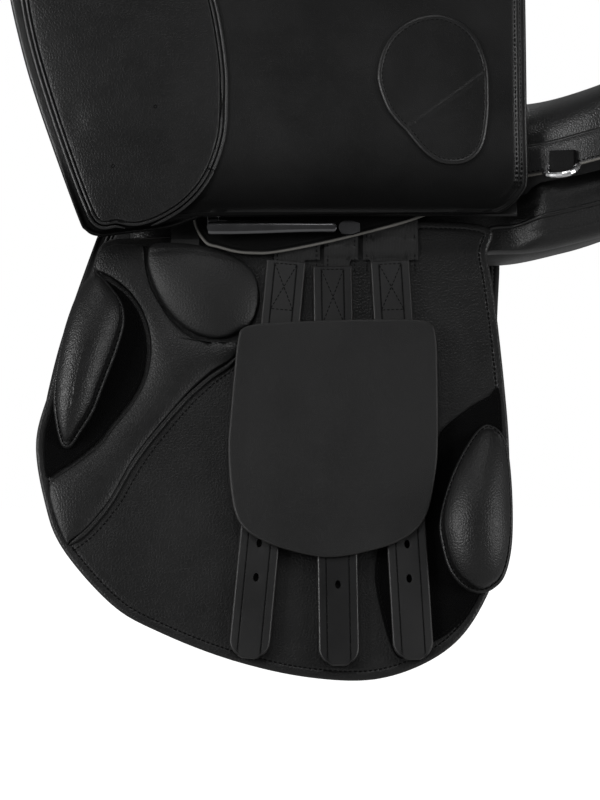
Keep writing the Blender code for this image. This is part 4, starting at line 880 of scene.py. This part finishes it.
def strap_plane(side, strap, u, v, h):
    """Point u across, v down and h out of one strap, which leans by an angle in its plane."""
    part, middle, drop, lean = strap
    a = math.radians(lean)
    x = middle / 1000 + u * math.cos(a) - v * math.sin(a)
    s = np.maximum(v * math.cos(a) + u * math.sin(a), 0) + drop / 1000
    return lay(side, STRAP_W, STRAP_Z, SPLAY, x, s, h)


def punched(piece, side, strap):
    """The strap with its oval holes cut through."""
    a = np.linspace(0, 2 * np.pi, 16, endpoint=False)
    punch = np.stack([strap_plane(side, strap, 0.0019 * np.cos(a), at + 0.0031 * np.sin(a), h)
                      for at in HOLE_V for h in (-0.003, 0.007)])
    faces = []
    for start in range(0, 32 * len(HOLE_V), 32):
        faces += skin_faces(2, 16, start, True)
        faces += [list(range(k, k + 16)) for k in (start, start + 16)]
    cutter = bpy.data.objects.new("punch", closed_mesh("punch", punch, faces))
    bpy.context.scene.collection.objects.link(cutter)
    cut = piece.modifiers.new("holes", "BOOLEAN")
    cut.operation, cut.solver, cut.object = "DIFFERENCE", "EXACT", cutter
    ready = piece.evaluated_get(bpy.context.evaluated_depsgraph_get())
    ready = bpy.data.meshes.new_from_object(ready)
    piece.modifiers.clear()
    piece.data = ready
    bpy.data.objects.remove(cutter)


ends = np.array([0, 0.0003, 0.001, 0.002])
rows = np.concatenate([ends, np.linspace(0.004, STRAP_LENGTH - 0.004, 190),
                       STRAP_LENGTH - ends[::-1]])
fine = np.array(FINE[:8]) / 1000
cols = np.concatenate([-STRAP_HALF + fine, np.arange(-0.0092, 0.0093, 0.0004),
                       (STRAP_HALF - fine)[::-1]]) / STRAP_HALF
v, u = np.meshgrid(rows, cols, indexing="ij")
# half width: straight, then the tongue, a sine from full to a flat tip
t = np.clip((v - (STRAP_LENGTH - TONGUE)) / TONGUE, 0, 1) * math.sin(math.radians(75))
half = STRAP_HALF * np.sqrt(1 - t ** 2)
d = np.minimum(np.minimum(v, STRAP_LENGTH - v), half * (1 - np.abs(u)))
d[0], d[-1], d[:, 0], d[:, -1] = 0, 0, 0, 0
x = u * half
shape = STRAP_MIDDLE * round_edge(d, 0.0022)
lines = groove(np.abs(x), STRAP_SEAM, 0.00045, 0.0002) * ease((half - 0.0085) / 0.002)
# the leather sinks a little round each hole
near = np.min((x[..., None] / 0.0040) ** 2 + ((v[..., None] - HOLE_V) / 0.0055) ** 2, axis=-1)
top = STRAP_MIDDLE + shape + lines * (d > 0.001) - 0.00035 * np.exp(-near)
# marks: the cut edge, and the band of painted shade on each creased stitch line
strap_marks = {"rim": [d < 0.0006] * 2,
               "seam": [np.exp(-((np.abs(x) - STRAP_SEAM) / 0.0006) ** 4) * (v > 0.002)] * 2}
for side, label, put, out in sides():
    for strap in STRAPS:
        part = strap[0]
        punched(add_piece(f"girth_strap_leather_{part}_{label}",
                          [strap_plane(side, strap, x, v, h) for h in (top, STRAP_MIDDLE - shape)],
                          strap_shine if part == "middle" else strap_leather,
                          (f"girth_strap_{part}_{label}",), "straps_" + label,
                          marks=strap_marks), side, strap)
        # seams: a row across below and one at the top of a box, the cross in it, and two
        # lines down the strap
        high, low, end = 0.0030, 0.0440 if part == "middle" else 0.0370, STRAP_LENGTH - 0.006
        runs = ((-1, low, 1, low), (-1, high, 1, high), (-1, high, 1, low), (1, high, -1, low),
                (-1, high, -1, end), (1, high, 1, end))
        for number, (u0, v0, u1, v1) in enumerate(runs):
            run = even(np.array([(u0 * STRAP_SEAM, v0), (u1 * STRAP_SEAM, v1)]), 120)
            stitches(f"girth_strap_stitches_{part}_{number}_{label}",
                     strap_plane(side, strap, *run.T, 0.0039 if number < 4 else 0.0037), out,
                     "straps_" + label, 0.0030, 0.0026, 0.00038)

# Buckle guard: one smooth leather over the three straps, shaped like a deep shield. It keeps
# the girth buckles off the flap, and slides on the straps by two leather keepers behind it.
GUARD_LINE = [
    (-109, 53), (-96, 49.5), (-59, 47.5), (-25, 46.5), (8, 46.5), (22, 49), (26, 60),
    (26.5, 88), (26, 135), (24, 158), (19, 183), (11, 197), (-4, 207), (-27, 214),
    (-46, 217), (-61, 216), (-84, 210), (-101, 202), (-111, 192), (-116, 174), (-118.5, 141),
    (-117, 115), (-114, 77), (-112, 60),
]
guard_loop = smooth_loop(GUARD_LINE) - (0, STRAP_TOP)
guard_leather = edged(
    leather("guard_leather", (0.0029, 0.0029, 0.0030), 0.52, 1000.0, 0.00007, 0.8, 0.06),
    (0.016, 0.0155, 0.015))
KEEPERS, KEEPER_HALF, GUARD_TRAVEL = (0.066, 0.150), 0.006, 0.010
# heights of a keeper: its under side, its upper side, and its foot against the guard
KEEPER_LOW, KEEPER_HIGH, KEEPER_FOOT = -0.0013, -0.0004, 0.0044


def strap_lines(s):
    """Middle of each strap at a height of the guard, with the tangent of its lean."""
    for part, middle, drop, lean in STRAPS:
        slope = math.tan(math.radians(lean))
        yield middle / 1000 - (s - drop / 1000) * slope, slope


def over_straps(x, s, d):
    """The leather has taken the shape of the straps: it lies low between them and is
    a fifth of a millimetre deep."""
    wave = 0
    for line, slope in strap_lines(s):
        wave = np.maximum(wave, np.exp(-((x - line) / 0.0125) ** 4))
    return (0.0002 * wave - 0.0002) * ease((d - 0.004) / 0.010)


for side, label, put, out in sides(STRAP_W, STRAP_Z):
    cut_leather("guard_leather_" + label, guard_loop, put, 0.0043, 0.0073, guard_leather,
                ("buckle_guard_" + label,), "guard_" + label, over_straps)
    for number, s_mid in enumerate(KEEPERS):
        xs = []
        for (line, slope), (part, middle, drop, lean) in zip(strap_lines(s_mid), STRAPS):
            half = (STRAP_HALF / math.cos(math.radians(lean))
                    + (KEEPER_HALF + GUARD_TRAVEL) * abs(slope) + 0.0006)
            xs.append((line - half, line + half))
        start, end = xs[0][0] - 0.0055, xs[-1][1] + 0.0055
        # path of a keeper: behind the straps, up between them to the guard, and back down
        profile = [(start, KEEPER_LOW), (end, KEEPER_LOW), (end, KEEPER_FOOT)]
        for x0, x1 in reversed(xs):
            profile += [(x1 + 0.0003, KEEPER_FOOT), (x1 + 0.0003, KEEPER_HIGH),
                        (x0 - 0.0003, KEEPER_HIGH), (x0 - 0.0003, KEEPER_FOOT)]
        across, out_of = np.array(profile + [(start, KEEPER_FOOT)]).T
        add_piece(f"guard_keeper_{number + 1}_{label}",
                  [np.stack([put(across, s_mid + end, out_of)
                             for end in (-KEEPER_HALF, KEEPER_HALF)])],
                  smooth_leather, body="guard_" + label, rings=True)

# Outer flap: the large smooth leather that covers straps and leg. On the near side it is
# thrown up over the seat, on the off side it hangs. Its front is rolled and stitched.
FLAP_LINE = [
    (-190, -15), (-209, -17), (-219, -13), (-226, 0), (-253, 75), (-267, 122), (-277, 170),
    (-277, 212), (-266, 255), (-240, 294), (-195, 325), (-140, 342), (-80, 349), (-15, 347),
    (35, 333), (68, 308), (86, 272), (91, 225), (91.5, 150), (91.5, 70), (91.5, 26),
    (88, 14), (74, 1), (50, -1.2), (-60, -1.2), (-122, -1.2), (-140, -4), (-160, -11),
]
FLAP_TILT = {-1: math.radians(188), 1: math.radians(27)}
FLAP_W, FLAP_Z, FLAP_HALF = 0.117, 0.035, 0.00225
flap_leather = edged(
    leather("flap_leather", (0.0035, 0.0035, 0.0036), 0.38, 900.0, 0.00006, 0.8, 0.05),
    (0.0055, 0.0054, 0.0053))
# painted shade at the flap's fold: a near-black colour and lowered shine where the fold mark is 1
edged(flap_leather, (0.0010, 0.0010, 0.0010), "fold", shade_dims_shine=True)
flap_loop = smooth_loop(FLAP_LINE)
x, s, d = across_rows(flap_loop, FINE)
# painted shade: under its fold the under face is darkened and its shine lowered, 60 mm up from the
# hinge
fold_shade = 0.92 * (1 - ease(s / 0.060))
flap_marks = {"rim": [(d < 0.0007) * ease(s / 0.012)] * 2, "fold": [0 * fold_shade, fold_shade]}


def flesh(x, s, d):
    """Under face: the rolled border ends in a groove 15 mm inside the front edge, two close
    grooves follow the straight back edge, and the leather is skived thin towards its fold."""
    front, rear = ease((-0.090 - x) / 0.03), ease((x - 0.02) / 0.03)
    roll = -0.0007 * front * np.sin(np.pi * np.clip(d / 0.0145, 0, 1)) ** 2
    seam = 0.0006 * front * np.exp(-((d - 0.0150) / 0.0010) ** 2)
    lines = -rear * (groove(d, 0.0045, 0.0008, 0.0005) + groove(d, 0.0080, 0.0009, 0.0008))
    return roll + seam + lines + 0.0030 * np.clip(1 - s / 0.050, 0, 1) ** 2 * ease(d / 0.004)


# Knee padding under the flap: soft grained leather over foam, drawn in near the top of its
# front, with a double-piped seam round it and two vents to breathe through. The vents are
# small closed black discs: their holes are not cut, and the black is painted shade for them.
FLAP_PAD_LINE = [
    (-198, -6), (-208, -7), (-215, 4), (-228, 38), (-243, 82), (-256, 127), (-263, 168),
    (-262, 205), (-252, 240), (-233, 268), (-214, 280), (-196, 268), (-172, 238), (-150, 200),
    (-134, 155), (-126, 110), (-125, 76), (-127, 52), (-136, 27), (-150, 9), (-168, -3),
    (-184, -8),
]
UNDER = -0.00255
pad_loop = smooth_loop(FLAP_PAD_LINE)
pad_x, pad_s, d = across_rows(pad_loop, PAD_FINE, 0.0022)
soft = 0.0009 * np.exp(-((pad_x + 0.2277) ** 2 + (pad_s - 0.0657) ** 2) / 0.009 ** 2) * (d > 0)
pad_swell = swell(pad_loop, pad_x, pad_s, d, 0.0025)
pad_high = 0.0002 + stuffed(pad_swell, d, 0.0054, 0.42, 0.0014) - soft
pad_top = UNDER - np.maximum(pad_high, 0) * (d > 0)

# Strap-keeper patch: a shield of leather sewn under the flap where its middle is lined.
# Its turned edge is a soft ridge, and a slanting welt crosses its corner.
PATCH_LINE = [
    (-8.5, 77), (-2, 66.5), (6.5, 57), (14, 47.5), (21.5, 40), (29.5, 35.2), (39, 33.8),
    (48, 35.4), (55.5, 40.5), (60.5, 49), (63.2, 62), (64.5, 80), (63, 108), (52, 131),
    (31, 142), (8, 137), (-8, 121), (-14, 98),
]
patch_loop = smooth_loop(PATCH_LINE)


def ridge(x, s, d):
    """A ridge 0.6 mm high 2 mm inside the edge, and a welt along the slanting line from
    (6.9, 58.9) to (30, 76) mm that ends at the patch's far side."""
    off = (s - 0.0589) * 0.804 - (x - 0.0069) * 0.595
    welt = 0.0007 * np.exp(-(off / 0.0010) ** 2) * ease((d - 0.001) / 0.004)
    return 0.0006 * np.exp(-((d - 0.0018) / 0.0011) ** 2) + welt


def turned(name, put, x, s, radii, heights, look, body, around):
    """A small round piece: rings about (x, s) with a radius and a height each."""
    turn = np.linspace(0, 2 * np.pi, around, endpoint=False)
    r, h = np.array(radii)[:, None], np.array(heights)[:, None]
    add_piece(name, [put(x + r * np.cos(turn), s + r * np.sin(turn), h)], look, body=body,
              rings=True)


VENTS = ((-0.170, 0.0748), (-0.200, 0.0312))
for side, label, put, out in sides(FLAP_W, FLAP_Z, FLAP_TILT):
    body = "flap_" + label
    cut_leather("outer_flap_" + label, flap_loop, put, -FLAP_HALF, FLAP_HALF, flap_leather,
                (body,), body, under=flesh, marks=flap_marks,
                face=lambda x, s, d: groove(d, 0.0058, 0.0008, 0.0004))
    round_seam("flap_border_stitches_" + label, flap_loop, 0.0058, 700, put, 0.0020, out, body)
    front = inside_line(flap_loop, 0.0150)
    front = front[(front[:, 0] < -0.10) & (front[:, 1] > 0.019)]
    # the front row starts after its widest step and closes straight across below it
    step = np.argmax(np.linalg.norm(np.diff(front, axis=0), axis=1)) + 1
    stitches("flap_front_stitches_" + label,
             put(*even(np.roll(front, -step, axis=0), 400).T, -0.0019), -out, body)
    for number, at in ((1, 0.0045), (2, 0.0080)):
        back = inside_line(flap_loop, at)
        back = back[(back[:, 0] > 0.030) & (back[:, 1] > 0.016) & (back[:, 1] < 0.335)]
        stitches(f"flap_back_stitches_{number}_{label}",
                 put(*opened(back, 400).T, -0.0016), -out, body)
    add_piece("flap_knee_padding_" + label,
              [put(pad_x, pad_s, pad_top), put(pad_x, pad_s, UNDER)], grained_leather,
              ("flap_pad_" + label,), body, sharp=50)
    for number, at in ((1, -0.0012), (2, -0.0044)):
        cord = inside_line(pad_loop, at, 0.95)
        cord = softened(even(np.concatenate([cord, cord[:1]]), 420), 3)[:-1]
        cord = opened(cord[reach(cord, flap_loop) > 0.003], 420)
        add_cord(f"flap_pad_piping_{number}_{label}", put(*cord.T, UNDER - 0.0002),
                 0.0013 * tapered(420), smooth_leather, body=body, sides=8)
    # painted shade: each vent is a closed disc in the black thread's colour, standing for the shade
    # in a hole
    for number, (vent_x, vent_s) in enumerate(VENTS):
        k = np.argmin((pad_x - vent_x) ** 2 + (pad_s - vent_s) ** 2)
        rise = np.array([-0.0003, 0.0001, 0.0003, 0.0002, -0.0001, -0.0001])
        turned(f"flap_pad_vent_{number + 1}_{label}", put, pad_x.flat[k], pad_s.flat[k],
               [0.0013, 0.0013, 0.0011, 0.0008, 0.0007, 0.0001], UNDER - pad_high.flat[k] - rise,
               thread, body, 16)
    round_seam("flap_pad_stitches_" + label, pad_loop, 0.0026, 500, put, UNDER - 0.0019, -out,
               body, 0.95, width=0.00036)
    cut_leather("flap_lining_patch_" + label, patch_loop, lambda x, s, h: put(x, s, -h), 0.0026,
                0.0042, flap_leather, body=body, face=ridge, fine=PAD_FINE,
                step=0.0014)
    round_seam("flap_patch_stitches_" + label, patch_loop, 0.0034, 260, put, -0.0042, -out, body,
               width=0.00030)

# Skirt: a small smooth leather over the stirrup bar, with two rows of stitches and a
# plain black edge. It is sewn below the seat and turns up with the flap.
SKIRT_LINE = [
    (-143, 6), (-142, 22), (-133, 46), (-112, 68), (-78, 80), (-38, 82), (2, 72), (23, 52),
    (31, 26), (33, 6), (29, -0.2), (18, -0.9), (-50, -0.9), (-128, -0.9), (-139, -0.2),
]
skirt_loop = smooth_loop(SKIRT_LINE)
for side, label, put, out in sides(0.0985, 0.088, FLAP_TILT):
    body = "skirt_" + label
    cut_leather("skirt_leather_" + label, skirt_loop, put, -0.0015, 0.0015, flap_leather,
                (body,), body,
                face=lambda x, s, d: groove(d, 0.0050, 0.0007, 0.0003),
                under=lambda x, s, d: 0.0015 * ease((0.015 - s) / 0.007) * ease(d / 0.0012))
    for number, at in ((1, 0.0050), (2, 0.0082)):
        line = inside_line(skirt_loop, at)
        stitches(f"skirt_stitches_{number}_{label}",
                 put(*opened(line[line[:, 1] > 0.009], 220).T, 0.0014), out, body)


# Stirrup bar: drop-forged steel. A bracket is riveted to the tree through three rivets, its
# front bends out into an arm, and the arm carries the open bar that the leather slips over.
def metal(name, colour, roughness, uneven, grain, depth, metallic=1.0):
    """Roughness and colour vary with a coarse noise, and a fine noise of the given grain and
    depth lifts the surface."""
    look = Look(bpy.data.materials.new(name))
    cloud = look.texture("Noise", scale=90.0, detail=5.0)
    look.wear(cloud, roughness - uneven, roughness + uneven)
    look.tint(cloud, "Fac", colour, 0.75, 1.0)
    look.bump(look.texture("Noise", scale=grain, detail=3.0), "Fac", 0.6, depth)
    fill_in(look.shader, metallic=metallic)
    return look


def dress(look, *starts):
    """Gives the look to every carried-over node whose name has one of these starts."""
    for name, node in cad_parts.items():
        if name.startswith(starts):
            node.data.materials.clear()
            node.data.materials.append(look.made)


def rounded_rings(places, middle, half, power, sides=20):
    """Rings round a path: each a superellipse |a/p|^n + |b/q|^n = 1 about its middle, where
    (p, q) are its half sizes."""
    turn = np.linspace(0, 2 * np.pi, sides, endpoint=False)
    rings = [np.repeat(places[:, None], sides, axis=1)]
    for m, h, wave in zip(middle, half, (np.cos(turn), np.sin(turn))):
        m, h = (np.broadcast_to(value, places.shape)[:, None] for value in (m, h))
        rings.append(m + h * np.sign(wave) * np.abs(wave) ** (2 / power))
    return rings


def blunt(t, share):
    """Round ends: a quarter circle over a share of the length at both ends."""
    near = 1 - np.clip(1 - np.minimum(t, 1 - t) / share, 0, 1) ** 2
    return np.sqrt(np.clip(near, 0.02, 1))


# painted shade: the steel's colour is far darker than bright steel, for the shade of the recess
# under the flap; the rivets and the catch share it
steel = metal("forged_steel_painted_shade", (0.15, 0.15, 0.155), 0.20, 0.04, 500.0, 0.00002)
t = np.linspace(0, 1, 60)
rail = rounded_rings(-0.1348 + 0.0926 * t, (-0.0200 - 0.0002 * t, 0.0199),
                     ((0.0056 - 0.0016 * ease((t - 0.15) / 0.75)) * blunt(t, 0.030),
                      0.0025 * blunt(t, 0.030)), 2.1)
t = np.linspace(0, 1, 30)
bend = ease((t - 0.25) / 0.5)
arm_s, arm_x, arm_h = rounded_rings(-0.062 + 0.042 * t, (-0.1296, 0.0128 + 0.0068 * bend),
                                    (0.0046, 0.0016 + 0.0007 * bend), 3.2)
t = np.linspace(0, 1, 24)
plate_s, plate_x, plate_h = rounded_rings(
    -0.0808 + 0.0446 * t, (-0.0895, 0.0127),
    (0.0400 + 0.0042 * blunt(t, 0.10), 0.0015 * (0.5 + 0.5 * blunt(t, 0.10))), 7.0, 48)
RIVETS, RIVET_BASE = ((-0.118, -0.070), (-0.086, -0.046), (-0.060, -0.070)), 0.0141
for side, label, put, out in sides():
    add_piece("forged_bar_" + label,
              [put(*rail), put(arm_x, arm_s, arm_h), put(plate_x, plate_s, plate_h)], steel,
              ("stirrup_bar_" + label,), rings=True)
    for number, (x, s) in enumerate(RIVETS):
        turned(f"bar_rivet_{number + 1}_{label}", put, x, s,
               [0.0034, 0.0033, 0.0029, 0.0021, 0.0011, 0.0002],
               np.array([0, 0.0004, 0.0008, 0.0012, 0.0014, 0.0015]) + RIVET_BASE, steel,
               "saddle", 20)

dress(steel, "bar_catch_")
dress(metal("painted_steel", (0.008, 0.008, 0.008), 0.42, 0.08, 1200.0, 0.00003, 0.0),
      "tree_front_arch")
dress(metal("chrome", (0.82, 0.82, 0.83), 0.20, 0.04, 700.0, 0.00001),
      "dee_ring_", "band_stud_", "pommel_nail_")

# Tree: beech laminate bent over the arch, sealed with a black-brown lacquer; the webs under
# the seat are strained along it, the flap's head is smooth leather and the ring's chape is a
# smooth leather made darker and less shiny as painted shade
laminate = Look(bpy.data.materials.new("laminate"))
veins = laminate.texture("Wave", scale=60.0, distortion=5.0, detail=3.0, bands_direction="Y")
wood = laminate.node("Mix", data_type="RGBA", a=(0.016, 0.012, 0.009, 1),
                     b=(0.028, 0.021, 0.015, 1))
laminate.link(veins, "Fac", wood, "Factor")
laminate.link(wood, "Result", laminate.shader, "Base Color")
laminate.bump(veins, "Fac", 0.4, 0.0002)
fill_in(laminate.shader, roughness=0.45)
dress(laminate, "tree_body")
dress(black_web, "seat_webbing")
dress(smooth_leather, "flap_head_")
# painted shade: the chape's leather is darker and less shiny than the other leathers
dress(leather("chape_leather_painted_shade", (0.0012, 0.0012, 0.0013), 0.55, 1000.0, 0.00008, 0.8, 0.0, 0.12),
      "dee_chape_")

# Setting: pale floor and backdrop, soft lamps, and the camera level at the near side. Glossy
# rays see the white background at a share at which near-black leather stays near black.
REFLECTED, FLOOR_Z, FLOOR_LIT = 0.12, -0.30, 0.95


def background_seen(look):
    """Share of the white background that a ray sees: all of it for camera and transmission
    rays, REFLECTED for glossy rays and none for the others."""
    eye = look.node("LightPath")
    seen = look.math("MULTIPLY_ADD", (eye, "Is Glossy Ray"), REFLECTED, (eye, "Is Camera Ray"))
    return look.math("ADD", (seen, "Value"), (eye, "Is Transmission Ray"), clamp=True), "Value"


floor_mesh = bpy.data.meshes.new("floor")
floor_mesh.from_pydata([(x, y, FLOOR_Z) for x, y in ((-3, -3), (3, -3), (3, 3), (-3, 3))], [],
                       [(0, 1, 2, 3)])
floor = bpy.data.objects.new("floor", floor_mesh)
bpy.context.scene.collection.objects.link(floor)
pale = Look(bpy.data.materials.new("pale_floor"))
fill_in(pale.shader, base_color=(0.62, 0.62, 0.62, 1), roughness=0.95)
shown = pale.node("Emission", color=(1, 1, 1, 1))
pale.link(pale.math("MULTIPLY", background_seen(pale), FLOOR_LIT), "Value", shown, "Strength")
both = pale.node("AddShader")
pale.link(pale.shader, "BSDF", both, 0)
pale.link(shown, "Emission", both, 1)
pale.link(both, "Shader", pale.tree.nodes["Material Output"], "Surface")
floor.data.materials.append(pale.made)

room = Look(bpy.data.worlds.new("pale_room"), "Background")
bpy.context.scene.world = room.made
fill_in(room.shader, color=(0.80, 0.82, 0.85, 1), strength=0.04)
white = room.node("Background", color=(1, 1, 1, 1), strength=1.0)
mix = room.node("MixShader")
room.link(*background_seen(room), mix, "Fac")
room.link(room.shader, "Background", mix, 1)
room.link(white, "Background", mix, 2)
room.link(mix, "Shader", room.tree.nodes["World Output"], "Surface")

# lamps: place, what each is turned to, size and power
LAMPS = {
    "left_lamp": ((-1.9, -1.25, 0.45), (0, -0.1, -0.1), 0.8, 30),
    "right_lamp": ((2.0, -1.2, 0.35), (0, -0.1, -0.1), 0.8, 24),
    "top_lamp": ((-0.2, -1.0, 2.2), (0, -0.1, 0), 1.0, 10),
    "back_lamp": ((0.9, 1.6, 1.6), (0, 0, 0), 1.2, 14),
}
for name, (place, target, size, power) in LAMPS.items():
    data = bpy.data.lights.new(name, "AREA")
    data.shape, data.size, data.energy = "SQUARE", size, power
    lamp = bpy.data.objects.new(name, data)
    bpy.context.scene.collection.objects.link(lamp)
    lamp.location = place
    aim = np.array(target, float) - place
    lamp.rotation_euler = (math.atan2(math.hypot(aim[0], aim[1]), -aim[2]), 0.0,
                           math.atan2(-aim[0], aim[1]))

# The photograph's frame is 414 by 552 mm at the straps; the camera is level and far enough
# back for the side to look nearly flat. It stands 14 mm to the left of the picture's middle.
FRAME_HIGH, CAMERA_AWAY, STRAPS_OUT, BESIDE, SENSOR = 0.552, 2.0, 0.150, 0.014, 24.0
camera_data = bpy.data.cameras.new("camera")
camera = bpy.data.objects.new("camera", camera_data)
bpy.context.scene.collection.objects.link(camera)
camera.location = (-0.083, -CAMERA_AWAY, -0.0966)
camera.rotation_euler = (math.pi / 2, 0.0, 0.0)
camera_data.sensor_fit = "VERTICAL"
camera_data.sensor_height = SENSOR
camera_data.lens = SENSOR * (CAMERA_AWAY - STRAPS_OUT) / FRAME_HIGH
camera_data.shift_x = BESIDE / FRAME_HIGH
camera_data.clip_end = 50.0
bpy.context.scene.camera = camera
bpy.context.scene.view_settings.view_transform = "Standard"
